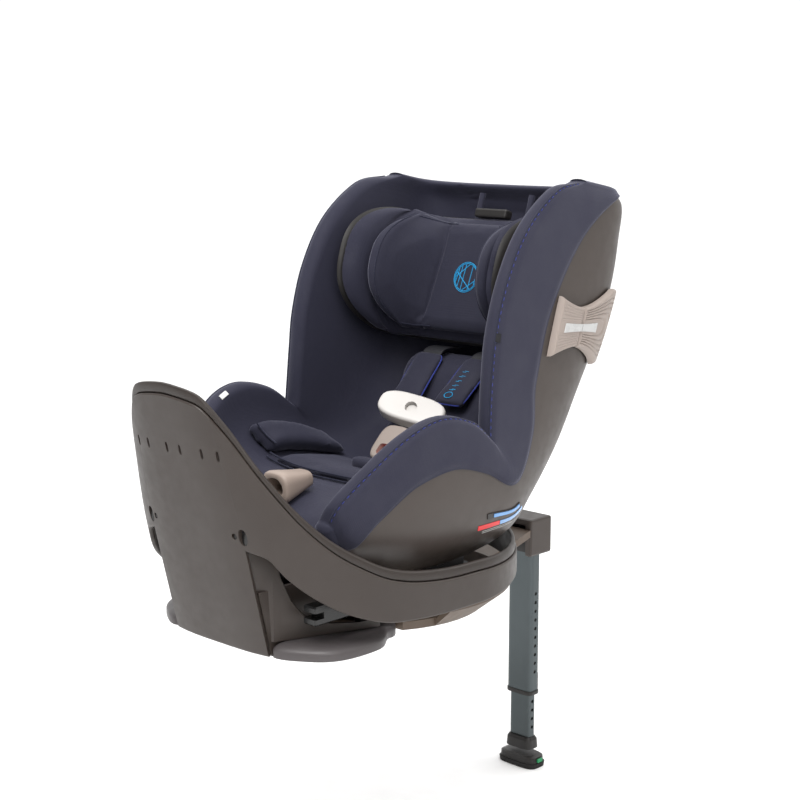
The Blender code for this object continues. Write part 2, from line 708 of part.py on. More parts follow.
def liner_pad(name, across, along, thickness, finish, counts=(8, 8), side_share=1.0):
    """A cushion lying on the bucket's padded surface, over a range of u and of v."""
    least, clear = 0.002, 0.0033

    def crown(k, count):
        place = abs(2 * k / count - 1)
        return (1 - place ** 4) ** 0.5

    def grid(lift):
        rows = []
        for r, v in enumerate(steps(*along, counts[1])):
            row = []
            for c, u in enumerate(steps(*across, counts[0])):
                rise = clear + lift * (least + thickness * crown(r, counts[1]) * crown(c, counts[0]))
                row.append(seat_point(u, v, LINER_SIDE + rise * side_share, front=-rise))
            rows.append(row)
        return rows
    return sheet(name, grid(1), grid(0), finish)


def hip_bolster(name, side):
    """The raised cushion beside the child's hip."""
    ends = sorted((side * .45, side * .80))
    rows = len(SEAT_SECTIONS) - 1
    return liner_pad(name, ends, (3.5 / rows, 6.3 / rows), .030, INLAY_FABRIC)


def recline_handle():
    """The pull loop at the middle of the seat's front edge, a short sleeve that runs along y."""
    lean = Matrix.Rotation(math.radians(HANDLE_LEAN), 4, "X") @ FACING_FRONT
    layers = [(-.030, .018, .012, 3), (-.005, .022, .017, 3), (.024, .026, .0235, 3),
              (.029, .023, .0205, 3)]
    loop = stack("recline_handle", layers, TAUPE, lean, (0, 0, 0), 28)
    hole = stack("handle_hole_cutter", [(-.05, .010, .0060, 2.3), (.05, .019, .0165, 2.3)], TAUPE,
                 lean, (0, 0, 0), 24)
    boolean(loop, cutter(hole))
    loop.location = HANDLE_AT
    hole.location = HANDLE_AT
    return loop


def across(t, power):
    """The u at a share t of the way from the centre line to the rim."""
    return math.acos((1 - t) ** (power / 2)) / (math.pi / 2)


def protector_point(side, t, place, stand):
    """A point of the side protector; place runs -1 to 1 up it, and it is narrow at the split."""
    spread = abs(t - PROTECTOR_SPLIT) / (PROTECTOR_SPLIT - 0.12)
    v = (10.17 + place * (0.38 + 0.32 * min(spread * 1.25, 1) ** 1.6)) / (len(SEAT_SECTIONS) - 1)
    power = spline(SEAT_SECTIONS, v)[5]
    return seat_point(side * across(t, power), v, side=-stand, back=-stand)


def protector_piece(name, side, first, last, clear=2 * GAP):
    """One half of the beige panel on the shell's flank, between two shares of the section."""
    grids = [[[protector_point(side, t, place, stand) for t in steps(first, last, 8)]
              for place in steps(-1, 1, 8)] for stand in (PROTECTOR_STAND, clear)]
    return sheet(name, *grids, SIDE_BEIGE)


def protector_axis(side):
    """The two ends of the flap's hinge line."""
    return [Vector(protector_point(side, PROTECTOR_SPLIT - 0.003, place, PROTECTOR_STAND))
            for place in (-1, 1)]


def protector_flap(name, side):
    """The rear half, which swings out towards the car's door."""
    low, high = protector_axis(side)
    flap = protector_piece(name, side, 0.13, PROTECTOR_SPLIT - 0.003, 0.0025)
    return on_axis(flap, (low + high) / 2)


def recline_window(name, side):
    """The curved window that shows how far the seat is tipped."""
    grids = [[[seat_point(side * across(0.405 + dt, 3.1), v / 14, side=-stand)
               for dt in steps(-0.016, 0.016, 2)] for v in steps(4.95, 6.15, 8)]
             for stand in (0.0014, GAP)]
    return sheet(name, *grids, BLUE)


# ---------------------------------------------------------------- headrest
def headrest_place(x, along, forward):
    """World place of a point of the headrest: along the back, and forward to the child."""
    facing = Vector((0, -BACK_DIRECTION.z, BACK_DIRECTION.y))
    return HEADREST_AT + Vector((x, 0, 0)) + BACK_DIRECTION * along + facing * forward


def headrest_point(u, v, inset=0.0, back=0.0, edge=1.0, squat=0.0):
    """A point of the winged headrest; u and v run -1 to 1 across and up.

    edge is how far out along the wings a layer runs, as a share of their depth.
    """
    along = v * (HEADREST_HALF_HEIGHT - squat)
    reach = 0.012 + WING_REACH * math.sqrt(1 - abs(0.97 * along / HEADREST_HALF_HEIGHT) ** 2.6)
    angle = abs(u) * math.acos((1 - edge) ** 2)
    x = math.copysign((HEADREST_HALF_WIDTH - inset) * math.sin(angle) ** 0.5, u)
    forward = back + (reach - back) * (1 - max(math.cos(angle), 0) ** 0.5)
    return headrest_place(x, 0.005 + along, forward)


def winged(name, outer, inner, finish, rows=8, cols=14):
    grids = [[[headrest_point(u, v, **offset) for u in steps(-1, 1, cols)]
              for v in steps(-1, 1, rows)] for offset in (outer, inner)]
    return sheet(name, *grids, finish)


def headrest_shell():
    """The hard shell behind the headrest's padding."""
    return winged("headrest_shell", {}, {"inset": .006, "back": .006}, DARK_PLASTIC)


def headrest_pad():
    """The padded cover of the headrest, with its two wings."""
    return winged("headrest_pad", {"inset": .006 + GAP, "back": .006 + GAP},
                  {"inset": .026, "back": .022}, FABRIC)


def inlay_point(u, v, deep):
    """A point of the inner cushion; deep is 0 on its face to the child and 1 on its back."""
    along = v * INLAY_HALF_HEIGHT
    middle = 0.066 - 0.011 * v
    reach = INLAY_REACH * math.sqrt(1 - abs(0.95 * v) ** 2.4) + 0.006
    face = INLAY_FACE - deep * INLAY_THICKNESS
    share = abs(u)
    if share < INLAY_MIDDLE:
        return headrest_place(middle * u / INLAY_MIDDLE, 0.005 + along, face)
    out = (share - INLAY_MIDDLE) / (1 - INLAY_MIDDLE)
    x = middle + (INLAY_HALF_WIDTH + 0.015 * deep - middle) * out ** 0.75
    forward = face + max(reach - face, 0.002) * out ** 1.25
    return headrest_place(math.copysign(x, u), 0.005 + along, forward)


def head_inlay():
    """The removable inner cushion of the headrest, with slanted wings."""
    grids = [[[inlay_point(u, v, deep) for u in steps(-1, 1, 16)] for v in steps(-1, 1, 10)]
             for deep in (0, 1)]
    return sheet("head_inlay", *grids, INLAY_FABRIC)


def headrest_block(name, half, along, forward, finish):
    """A box square to the back: half width, and its ranges along and forward."""
    points = [headrest_place(x, a, f) for x in (-half, half) for a in along for f in forward]
    faces = [(0, 1, 3, 2), (4, 5, 7, 6), (0, 1, 5, 4), (2, 3, 7, 6), (0, 2, 6, 4), (1, 3, 7, 5)]
    return from_faces(name, points, faces, finish)


def headrest_rod(name, side, radius, low, high, finish):
    start, end = (headrest_place(side * RAIL_SPACING, a, RAIL_FORWARD) for a in (low, high))
    return rod(name, radius, start, end, finish, 16)


def headrest_carrier():
    """The block behind the headrest that slides on the two rails."""
    carrier = headrest_block("headrest_carrier", .075, (-.045, .045), (-.024, -GAP), DARK_PLASTIC)
    for side in (-1, 1):
        bore = headrest_rod(f"carrier_bore_cutter_{side}", side, .0058, -.10, .10, STEEL)
        boolean(carrier, cutter(bore))
    return carrier


def headrest_rails():
    """The two steel rails that guide the headrest, and the block that holds their feet."""
    rails = headrest_block("headrest_rails", .070, (-.078, -.055), (-.043, -.002), STEEL)
    for side in (-1, 1):
        bar = headrest_rod(f"bar_cutter_{side}", side, .005, -.060, .150, STEEL)
        boolean(rails, cutter(bar), "UNION")
    return rails


def headrest_adjuster():
    """The squeeze handle on top of the headrest that frees it to slide."""
    grip = block("headrest_adjuster", (-.032, -.0085, 0), (.032, .0085, .014), DARK_PLASTIC, .003, 2)
    turn = BACK_DIRECTION.to_track_quat("Z", "Y").to_matrix().to_4x4()
    grip.data.transform(turn)
    grip.location = headrest_place(0, .005 + HEADREST_HALF_HEIGHT + .0004, .012)
    return grip


# ---------------------------------------------------------------- harness
def strap(name, places, width, thick, finish):
    """Flat webbing through (x, y, z) places, its width along x."""
    path = [Vector(p) for p in places]
    loops = []
    for i, p in enumerate(path):
        run = (path[min(i + 1, len(path) - 1)] - path[max(i - 1, 0)]).normalized()
        wide = Vector((1, 0, 0))
        flat = run.cross(wide).normalized() * thick / 2
        loops.append([p - wide * width / 2 - flat, p + wide * width / 2 - flat,
                      p + wide * width / 2 + flat, p - wide * width / 2 + flat])
    return loft(name, loops, finish)


def shoulder_pad(name, side):
    """The padded sleeve round the shoulder belt."""
    places = [(side * .050, .186, .343), (side * .048, .158, .318), (side * .045, .134, .296),
              (side * .043, .118, .281)]
    path = [Vector(p) for p in places]
    loops = []
    for i, p in enumerate(path):
        run = (path[min(i + 1, 3)] - path[max(i - 1, 0)]).normalized()
        flat = run.cross(Vector((1, 0, 0))).normalized()
        half = .024 if i in (0, 3) else .029
        loops.append([p + Vector((a, 0, 0)) + flat * b for a, b in rounded(half, .008, 3.5, 16)])
    return loft(name, loops, FABRIC)


def shoulder_strap(name, side):
    """The belt from its slot in the back down into the sleeve."""
    places = [(side * .052, .236, .347), (side * .051, .212, .3505), (side * .0505, .193, .3485)]
    return strap(name, places, .038, .0018, WEBBING)


def chest_clip():
    """The clip that holds the two shoulder belts together."""
    turn = CLIP_TURN
    layers = [(-.008, .046, .019, 2.8), (-.004, .050, .022, 2.8), (.004, .050, .022, 2.8),
              (.008, .045, .018, 2.8)]
    clip = stack("chest_clip", layers, WHITE, turn, CLIP_AT, 28)
    well = stack("clip_well_cutter", [(.002, .0093, .0093, 2), (.020, .0093, .0093, 2)], WHITE, turn,
                 CLIP_AT, 20)
    boolean(clip, cutter(well))
    return clip


def chest_clip_button():
    button = stack("chest_clip_button", [(.0056, .0088, .0088, 2), (.0090, .0088, .0088, 2),
                                         (.0096, .0080, .0080, 2)], WHITE, CLIP_TURN, (0, 0, 0), 20)
    button.location = CLIP_AT
    return button


def buckle_body():
    """The crotch buckle that both belts click into."""
    layers = [(-.009, .024, .030, 3.5), (-.005, .026, .032, 3.5), (.005, .026, .032, 3.5),
              (.009, .023, .029, 3.5)]
    body = stack("buckle_body", layers, TAUPE, BUCKLE_TURN, BUCKLE_AT, 24)
    well = stack("buckle_well_cutter", [(.002, .0113, .0093, 4), (.02, .0113, .0093, 4)], TAUPE,
                 BUCKLE_TURN, Vector(BUCKLE_AT) - BUCKLE_TURN.col[1].to_3d() * .014, 20)
    boolean(body, cutter(well))
    return body


def buckle_button():
    button = stack("buckle_button", [(.0058, .0108, .0088, 4), (.0100, .0108, .0088, 4),
                                     (.0106, .0100, .0080, 4)], RED, BUCKLE_TURN, (0, 0, 0), 20)
    button.location = Vector(BUCKLE_AT) - BUCKLE_TURN.col[1].to_3d() * .014
    return button


def crotch_pad():
    """The padded sleeve that the buckle stands in."""
    return stack("crotch_pad", [(0, .030, .012, 3), (.012, .032, .014, 3), (.018, .028, .011, 3)],
                 INLAY_FABRIC, None, (0, -.008, .1945), 20)


def buckle_tongue():
    """The metal-and-plastic tongues of the two belts, side by side in the buckle."""
    up = BUCKLE_TURN.col[1].to_3d()
    return stack("buckle_tongue", [(-.007, .021, .0042, 5), (-.002, .021, .0042, 5)], TAUPE,
                 BUCKLE_TURN, BUCKLE_AT + up * .0366, 16)


# ---------------------------------------------------------------- assembly
def frame_of(along, facing):
    """A turn whose local x runs along and whose local z faces as near as it can to facing."""
    x = Vector(along).normalized()
    z = Vector(facing)
    z = (z - x * z.dot(x)).normalized()
    return Matrix((x, z.cross(x), z)).transposed().to_4x4()


CLIP_TURN = frame_of((.92, .33, -.19), (0, -.72, .69))
BUCKLE_TURN = frame_of((1, 0, 0), (0, -.70, .71))


def body(name, axis_point, parent, pieces):
    """An empty on a joint's axis that carries the pieces of one moving body."""
    holder = bpy.data.objects.new(name, None)
    bpy.context.scene.collection.objects.link(holder)
    holder.location = axis_point
    if parent:
        holder.parent = parent
        holder.matrix_parent_inverse = Matrix.Translation(-parent.location)
    for piece in pieces:
        if piece.location.length == 0:
            on_axis(piece, axis_point)
        piece.parent = holder
        piece.matrix_parent_inverse = Matrix.Translation(-Vector(axis_point))
    return holder


def both(make, stem):
    """The left and the right copy of a piece, the child's left being +X."""
    return [make(f"{stem}_left", 1), make(f"{stem}_right", -1)]


def build_base():
    return body("base", (0, 0, 0), None, [
        base_collar(), collar_liner(), base_housing(), base_floor(), *both(side_foot, "side_foot"),
        leg_housing(), leg_pivot_pin(), *both(latch_guide, "latch_guide"),
        *both(panel_screw, "panel_screw"),
        turntable_track(), turntable_hub()])


def build_latches(base):
    for stem, side in (("left", 1), ("right", -1)):
        body(f"latch_{stem}", (side * LATCH_X, -.12, LATCH_Z), base, [
            latch_arm(f"latch_arm_{stem}", side), latch_indicator(f"latch_indicator_{stem}", side)])
        button = latch_button(f"latch_button_{stem}", side)
        body(f"latch_release_{stem}", button.location.copy(), base, [button])


def build_leg(base):
    pivot = (0, LEG_Y, LEG_PIVOT_Z)
    leg = body("leg", pivot, base, [leg_outer_tube(), leg_clamp()])
    button = leg_button()
    body("leg_release", button.location.copy(), leg, [button])
    lower = body("leg_lower", (0, LEG_Y, LEG_BOTTOM), leg, [leg_inner_tube(), foot_stem()])
    body("foot", (0, LEG_Y, FOOT_BOTTOM), lower, [foot_shoe(), foot_sole(), foot_indicator()])


def build_seat(turntable):
    pivot = (0, *RECLINE_CENTRE)
    last = len(SEAT_SECTIONS) - 1
    seat = body("seat", pivot, turntable, [
        seat_shell(), seat_foam(), seat_liner(), *both(side_cover, "side_cover"),
        recline_window("recline_window", 1),
        protector_piece("side_protector_left", 1, PROTECTOR_SPLIT + .003, .610),
        protector_piece("side_protector_right", -1, PROTECTOR_SPLIT + .003, .610),
        headrest_rails(),
        liner_pad("seat_inlay", (-.40, .40), (3.3 / last, 5.9 / last), .006, INLAY_FABRIC),
        liner_pad("back_inlay", (-.22, .22), (6.5 / last, 9.35 / last), .078, INLAY_FABRIC, (8, 10), .1),
        *both(hip_bolster, "hip_bolster"), *both(shoulder_pad, "shoulder_pad"),
        *both(shoulder_strap, "shoulder_strap"),
        chest_clip(), buckle_body(), buckle_tongue(), crotch_pad()])
    for stem, side in (("left", 1), ("right", -1)):
        flap = protector_flap(f"protector_flap_{stem}", side)
        body(f"protector_{stem}", flap.location.copy(), seat, [flap])
    for piece in (recline_handle(), chest_clip_button(), buckle_button()):
        body(piece.name + "_travel", piece.location.copy(), seat, [piece])
    headrest = body("headrest", HEADREST_AT, seat, [
        headrest_shell(), headrest_pad(), head_inlay(), headrest_carrier()])
    adjuster = headrest_adjuster()
    body("headrest_release", adjuster.location.copy(), headrest, [adjuster])


def build():
    base = build_base()
    build_latches(base)
    build_leg(base)
    turntable = body("turntable", (0, 0, 0), base, [turntable_disc()])
    build_seat(turntable)


build()
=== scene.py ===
"""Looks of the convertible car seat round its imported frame. Metres, +Z up, child faces -Y."""

import math

import bmesh
import bpy
from mathutils import Matrix, Vector


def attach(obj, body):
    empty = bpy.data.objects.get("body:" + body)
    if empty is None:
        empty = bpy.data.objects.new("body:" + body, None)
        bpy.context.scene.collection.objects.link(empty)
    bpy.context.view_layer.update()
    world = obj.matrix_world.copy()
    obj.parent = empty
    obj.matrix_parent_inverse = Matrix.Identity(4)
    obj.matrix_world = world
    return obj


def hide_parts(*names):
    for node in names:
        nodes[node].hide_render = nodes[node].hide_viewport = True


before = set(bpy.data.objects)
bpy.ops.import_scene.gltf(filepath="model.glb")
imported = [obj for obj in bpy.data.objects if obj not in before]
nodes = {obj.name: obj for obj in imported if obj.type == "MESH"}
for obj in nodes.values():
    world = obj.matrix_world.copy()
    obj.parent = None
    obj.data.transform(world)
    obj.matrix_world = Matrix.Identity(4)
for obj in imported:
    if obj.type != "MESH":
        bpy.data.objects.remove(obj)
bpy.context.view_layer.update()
scene = bpy.context.scene

# ------------------------------------------------------------------ shared dimensions
HALF_WIDTH, FOOT_REACH, LEAN, POWER, NARROWING = 0.215, 0.300, 0.25, 3.3, 0.16
CORNER = 165
WALL, LIP_DEPTH, LIP_RISE = 0.006, 0.035, 0.014
SLOT_X, SLOT_Z = (0.0135, 0.055, 0.081), 0.282
SCREW_X, BUTTON_X, BUTTON_Z = 0.0815, 0.0950, 0.172
BACK = Vector((0, 0.29, 0.957)).normalized()
FACING = Vector((0, -BACK.z, BACK.y))
HEAD_AT = Vector((0, 0.250, 0.447))
HEAD_HALF, HEAD_WIDTH, WING = 0.100, 0.160, 0.158
RECLINE = (0.010, 0.460)
LINER_SIDE = 0.026
COVER = 0.0048  # how far the cover stands off the shell
SPLIT = 0.42
SIDES = ((1, "left"), (-1, "right"))
FLOOR_Z = -0.3702
WAVE_PERIOD = 0.314  # between the bands of a wave texture at scale 1
COVER_SHEET, COVER_UNDER = 0.0032, 0.0006  # its thickness, and what its underside stands off
FRONT_WAY, FRONT_BULGE = Vector((0, -.93, -.36)), 0.75
TOP_WAY, TOP_BULGE = Vector((0, -.30, .95)), 0.30
FLANK, ROLL, INSIDE, ROWS = 16, 12, 64, 132  # points across the flank, rim and inside; rows along
INLAY_MIDDLE = 0.40

RIM = ((0, .090), (30, .085), (60, .080), (90, .083), (100, .090), (110, .103), (120, .126),
       (130, .154), (140, .194), (150, .250), (160, .312), (170, .349), (180, .358))
BAND = ((0, .055), (30, .050), (60, .042), (90, .036), (110, .042), (125, .060), (140, .090),
        (150, .118), (157, .145), (CORNER - 0.5, .152))
# outer centre line y, z, rim y, z, half width, squareness, cover start, inner centre line y, z
SECTIONS = (
    (-.205, .128, -.230, .172, .150, 3.6, .34, -.207, .160),
    (-.180, .101, -.225, .200, .166, 3.4, .42, -.190, .172),
    (-.140, .082, -.190, .238, .184, 3.1, .62, -.155, .184),
    (-.070, .061, -.138, .282, .206, 3.0, .73, -.100, .190),
    (.000, .053, -.080, .300, .214, 3.0, .74, -.045, .186),
    (.080, .059, -.020, .288, .215, 3.0, .70, .015, .178),
    (.146, .079, .020, .262, .213, 3.0, .62, .080, .170),
    (.196, .131, .028, .262, .210, 3.2, .58, .145, .178),
    (.250, .205, .032, .300, .208, 3.8, .60, .203, .226),
    (.292, .295, .037, .352, .207, 4.8, .66, .250, .306),
    (.330, .380, .045, .410, .207, 6.0, .66, .286, .386),
    (.356, .460, .068, .477, .207, 7.0, .62, .310, .464),
    (.369, .525, .112, .544, .206, 7.0, .56, .324, .526),
    (.372, .572, .178, .594, .203, 7.0, .48, .330, .570),
    (.350, .594, .245, .614, .195, 6.0, .44, .316, .597),
)
LAST = len(SECTIONS) - 1
COVER_EDGE = tuple((k, row[6]) for k, row in enumerate(SECTIONS[:12])) + (
    (12, .54), (12.5, .47), (13, .36), (13.5, .20), (14, .04))


# ------------------------------------------------------------------ number tools
def steps(low, high, count):
    return [low + (high - low) * i / count for i in range(count + 1)]


def smooth(t):
    t = min(max(t, 0.0), 1.0)
    return t * t * (3 - 2 * t)


def circle(count):
    """The angles of count points round a circle."""
    return [2 * math.pi * k / count for k in range(count)]


def turned(degrees, axis="X"):
    return Matrix.Rotation(math.radians(degrees), 4, axis)


def dent(distance, width):
    """A bell of height 1 at distance 0."""
    return math.exp(-(distance / width) ** 2)


def curve_value(table, x):
    """A monotone cubic through (x, value) pairs."""
    xs = [p[0] for p in table]
    ys = [p[1] for p in table]
    if x <= xs[0]:
        return ys[0]
    if x >= xs[-1]:
        return ys[-1]
    slopes = [(b - a) / (q - p) for a, b, p, q in zip(ys, ys[1:], xs, xs[1:])]
    tangents = [slopes[0]]
    for before, after in zip(slopes, slopes[1:]):
        tangents.append(0 if before * after <= 0 else 2 * before * after / (before + after))
    tangents.append(slopes[-1])
    i = max(k for k in range(len(xs) - 1) if xs[k] <= x)
    h = xs[i + 1] - xs[i]
    t = (x - xs[i]) / h
    return ((2 * t ** 3 - 3 * t ** 2 + 1) * ys[i] + (t ** 3 - 2 * t ** 2 + t) * h * tangents[i]
            + (3 * t ** 2 - 2 * t ** 3) * ys[i + 1] + (t ** 3 - t ** 2) * h * tangents[i + 1])


def catmull_rom(rows, u):
    """The point at u between the middle two of four rows of numbers."""
    return [0.5 * (2 * b + (c - a) * u + (2 * a - 5 * b + 4 * c - d) * u * u
                   + (3 * b - a - 3 * c + d) * u ** 3) for a, b, c, d in zip(*rows)]


def spline(rows, t):
    """Catmull-Rom value at t (0 to 1) through equally spaced rows of numbers."""
    last = len(rows) - 1
    place = min(max(t, 0), 1) * last
    i = min(int(place), last - 1)
    u = place - i
    p1, p2 = rows[i], rows[i + 1]
    p0 = rows[i - 1] if i else tuple(2 * a - b for a, b in zip(p1, p2))
    p3 = rows[i + 2] if i + 2 <= last else tuple(2 * b - a for a, b in zip(p1, p2))
    return catmull_rom((p0, p1, p2, p3), u)


def path_at(points, t):
    return Vector(spline([tuple(p) for p in points], t))


def heading(points, t):
    """The way that the path runs at t."""
    return (path_at(points, min(t + .02, 1)) - path_at(points, max(t - .02, 0))).normalized()


# ------------------------------------------------------------------ mesh tools
def placed(name, data):
    obj = bpy.data.objects.new(name, data)
    scene.collection.objects.link(obj)
    return obj


def finished(name, bm, look, body, shade=40):
    """Turns a bmesh into a piece with its look, riding on a body."""
    bmesh.ops.remove_doubles(bm, verts=bm.verts, dist=2e-6)
    bmesh.ops.recalc_face_normals(bm, faces=bm.faces)
    mesh = bpy.data.meshes.new(name)
    bm.to_mesh(mesh)
    bm.free()
    mesh.materials.append(look)
    obj = placed(name, mesh)
    shaded(obj, shade)
    if body:
        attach(obj, body)
    return obj


def shaded(obj, angle):
    """Smooth shading, broken along edges sharper than angle degrees."""
    obj.data.shade_smooth()
    if angle < 180:
        obj.data.set_sharp_from_angle(angle=math.radians(angle))


def stands_for(obj, body, *cad):
    """Puts a piece on a body in place of CAD nodes."""
    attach(obj, body)
    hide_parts(*cad)


def from_grids(name, outer, inner, look, body, closed=False, shade=40):
    """A solid wall between two grids of points."""
    rows, cols = len(outer), len(outer[0])
    bm = bmesh.new()
    verts = [[[bm.verts.new(p) for p in row] for row in grid] for grid in (outer, inner)]

    def quad(*corners):
        if len(set(corners)) == 4:
            bm.faces.new(corners)

    for c in range(cols if closed else cols - 1):
        n = (c + 1) % cols
        for r in range(rows - 1):
            for side in verts:
                quad(side[r][c], side[r + 1][c], side[r + 1][n], side[r][n])
        for r in (0, rows - 1):
            quad(verts[0][r][c], verts[0][r][n], verts[1][r][n], verts[1][r][c])
    for c in () if closed else (0, cols - 1):
        for r in range(rows - 1):
            quad(verts[0][r][c], verts[0][r + 1][c], verts[1][r + 1][c], verts[1][r][c])
    return finished(name, bm, look, body, shade)


def slab(name, middle, half, look, body, rows=40, cols=56, edge=0.003, sag=None):
    """A padded slab about the surface middle(u, v), with edges that round off over edge metres."""
    us, vs = ([math.sin(a * math.pi / 2) * 0.35 + a * 0.65 for a in steps(-1, 1, n)]
              for n in (cols, rows))
    centre = [[Vector(middle(u, v)) for u in us] for v in vs]
    front, back = [], []
    for r in range(rows + 1):
        front.append([])
        back.append([])
        for c in range(cols + 1):
            p = centre[r][c]
            across = centre[r][min(c + 1, cols)] - centre[r][max(c - 1, 0)]
            up = centre[min(r + 1, rows)][c] - centre[max(r - 1, 0)][c]
            normal = up.cross(across).normalized()
            ends = [(p - centre[r][0]).length, (p - centre[r][cols]).length,
                    (p - centre[0][c]).length, (p - centre[rows][c]).length]
            share = 1.0
            for d in ends:
                share *= math.sqrt(max(1 - (1 - min(d / edge, 1)) ** 2, 0))
            lift = half(us[c], vs[r]) if callable(half) else half
            lift = lift * share + 0.0002
            cut = sag(us[c], vs[r]) if sag else 0
            front[-1].append(p + normal * (lift - cut))
            back[-1].append(p - normal * lift)
    return from_grids(name, front, back, look, body, shade=180)


def loft(name, loops, look, body, shade, closed=False):
    bm = bmesh.new()
    rings = [[bm.verts.new(p) for p in loop] for loop in loops]
    count = len(rings[0])
    pairs = list(zip(rings, rings[1:])) + ([(rings[-1], rings[0])] if closed else [])
    for a, b in pairs:
        for i in range(count):
            j = (i + 1) % count
            bm.faces.new((a[i], a[j], b[j], b[i]))
    if not closed:
        bm.faces.new(rings[0])
        bm.faces.new(rings[-1])
    return finished(name, bm, look, body, shade)


def rounded(half_a, half_b, power, count):
    outline = []
    for i in range(count):
        angle = 2 * math.pi * (i + 0.5) / count
        c, s = math.cos(angle), math.sin(angle)
        outline.append((math.copysign(half_a * abs(c) ** (2 / power), c),
                        math.copysign(half_b * abs(s) ** (2 / power), s)))
    return outline


def stack(name, layers, look, body, turn, at, count):
    """A loft along local z through (z, half_x, half_y, power) layers."""
    place = Matrix.Translation(at) @ (turn or Matrix.Identity(4))
    loops = [[place @ Vector((a, b, z)) for a, b in rounded(hx, hy, power, count)]
             for z, hx, hy, power in layers]
    return loft(name, loops, look, body, 40)


def soft_edge(low, high, hx, hy, radius, power, steps_count=5):
    """Layers of a stack from low to high with both ends rounded by radius."""
    layers = []
    for k in range(steps_count + 1):
        a = math.pi / 2 * k / steps_count
        cut = radius * (1 - math.sin(a))
        layers.append((low + radius * (1 - math.cos(a)), hx - cut, hy - cut, power))
    return layers + [(low + high - z, x, y, p) for z, x, y, p in reversed(layers)]


def tube(name, points, radius, look, body, count=10, closed=False):
    """A round cord along points."""
    path = [Vector(p) for p in points]
    loops = []
    last = len(path) - 1
    side = None
    for i, p in enumerate(path):
        if closed:
            run = (path[(i + 1) % len(path)] - path[i - 1]).normalized()
        else:
            run = (path[min(i + 1, last)] - path[max(i - 1, 0)]).normalized()
        guide = side or run.orthogonal()
        across = (guide - run * guide.dot(run)).normalized()
        side = across
        other = run.cross(across)
        loops.append([p + across * (radius * math.cos(a)) + other * (radius * math.sin(a))
                      for a in circle(count)])
    return loft(name, loops, look, body, 60, closed=closed)


def dashes(name, points, normals, look, length, gap, radius):
    """A row of short stitches along a path."""
    path = [Vector(p) for p in points]
    bm = bmesh.new()
    samples = []
    for a, b, n in zip(path, path[1:], normals):
        d = (b - a).length
        k = max(int(d / 0.0006), 1)
        samples += [(a.lerp(b, i / k), (b - a).normalized(), Vector(n), d / k) for i in range(k)]
    i = 0
    while i < len(samples):
        p, run, normal, _ = samples[i]
        travelled, j = 0.0, i
        while j < len(samples) - 1 and travelled < length:
            travelled += samples[j][3]
            j += 1
        if travelled < length * 0.9:
            break
        q = samples[j][0]
        mid = samples[(i + j) // 2][0] + normal * radius * 0.8
        across = run.cross(normal).normalized() * radius
        up = normal.normalized() * radius
        spine = ((p, .45), (p.lerp(mid, .5), 1), (mid, 1), (mid.lerp(q, .5), 1), (q, .45))
        rings = [[c + across * math.cos(a) * s + up * math.sin(a) * s
                  for a in (math.pi * m / 3 for m in range(6))] for c, s in spine]
        made = [[bm.verts.new(v) for v in r] for r in rings]
        for r1, r2 in zip(made, made[1:]):
            for m in range(6):
                bm.faces.new((r1[m], r1[(m + 1) % 6], r2[(m + 1) % 6], r2[m]))
        bm.faces.new(made[0])
        bm.faces.new(made[-1])
        while j < len(samples) and travelled < length + gap:
            travelled += samples[j][3]
            j += 1
        i = j
    finished(name, bm, look, "seat", 180)


# ------------------------------------------------------------------ materials
def nodes_of(name, colour, roughness, metallic=0.0):
    made = bpy.data.materials.new(name)
    made.use_nodes = True
    tree = made.node_tree
    bsdf = tree.nodes["Principled BSDF"]
    bsdf.inputs["Base Color"].default_value = (*colour, 1)
    bsdf.inputs["Roughness"].default_value = roughness
    bsdf.inputs["Metallic"].default_value = metallic
    place = tree.nodes.new("ShaderNodeTexCoord").outputs["Object"]
    return made, tree, bsdf, place


def added(tree, kind, values, links):
    """A new shader node with some inputs set and some linked."""
    node = tree.nodes.new(kind)
    for key, value in values.items():
        node.inputs[key].default_value = value
    for key, source in links.items():
        tree.links.new(source, node.inputs[key])
    return node


def noise(tree, place, scale, detail=3.0, stretch=None):
    if stretch:
        mapping = added(tree, "ShaderNodeMapping", {"Scale": stretch}, {"Vector": place})
        place = mapping.outputs["Vector"]
    values = {"Scale": scale, "Detail": detail}
    return added(tree, "ShaderNodeTexNoise", values, {"Vector": place}).outputs["Fac"]


def spread(tree, value, low, high):
    values = {"From Min": 0.3, "From Max": 0.7, "To Min": low, "To Max": high}
    return added(tree, "ShaderNodeMapRange", values, {"Value": value}).outputs["Result"]


def tint(tree, bsdf, value, colour, amount):
    """Colour varied a little about its own value by a noise."""
    mix = tree.nodes.new("ShaderNodeMix")
    mix.data_type = "RGBA"
    mix.inputs["A"].default_value = (*[c * (1 - amount) for c in colour], 1)
    mix.inputs["B"].default_value = (*[min(c * (1 + amount), 1) for c in colour], 1)
    tree.links.new(value, mix.inputs["Factor"])
    tree.links.new(mix.outputs["Result"], bsdf.inputs["Base Color"])


def bump(tree, bsdf, height, strength, distance, before=None):
    values = {"Strength": strength, "Distance": distance}
    node = added(tree, "ShaderNodeBump", values, {"Height": height})
    if before:
        tree.links.new(before, node.inputs["Normal"])
    tree.links.new(node.outputs["Normal"], bsdf.inputs["Normal"])
    return node.outputs["Normal"]


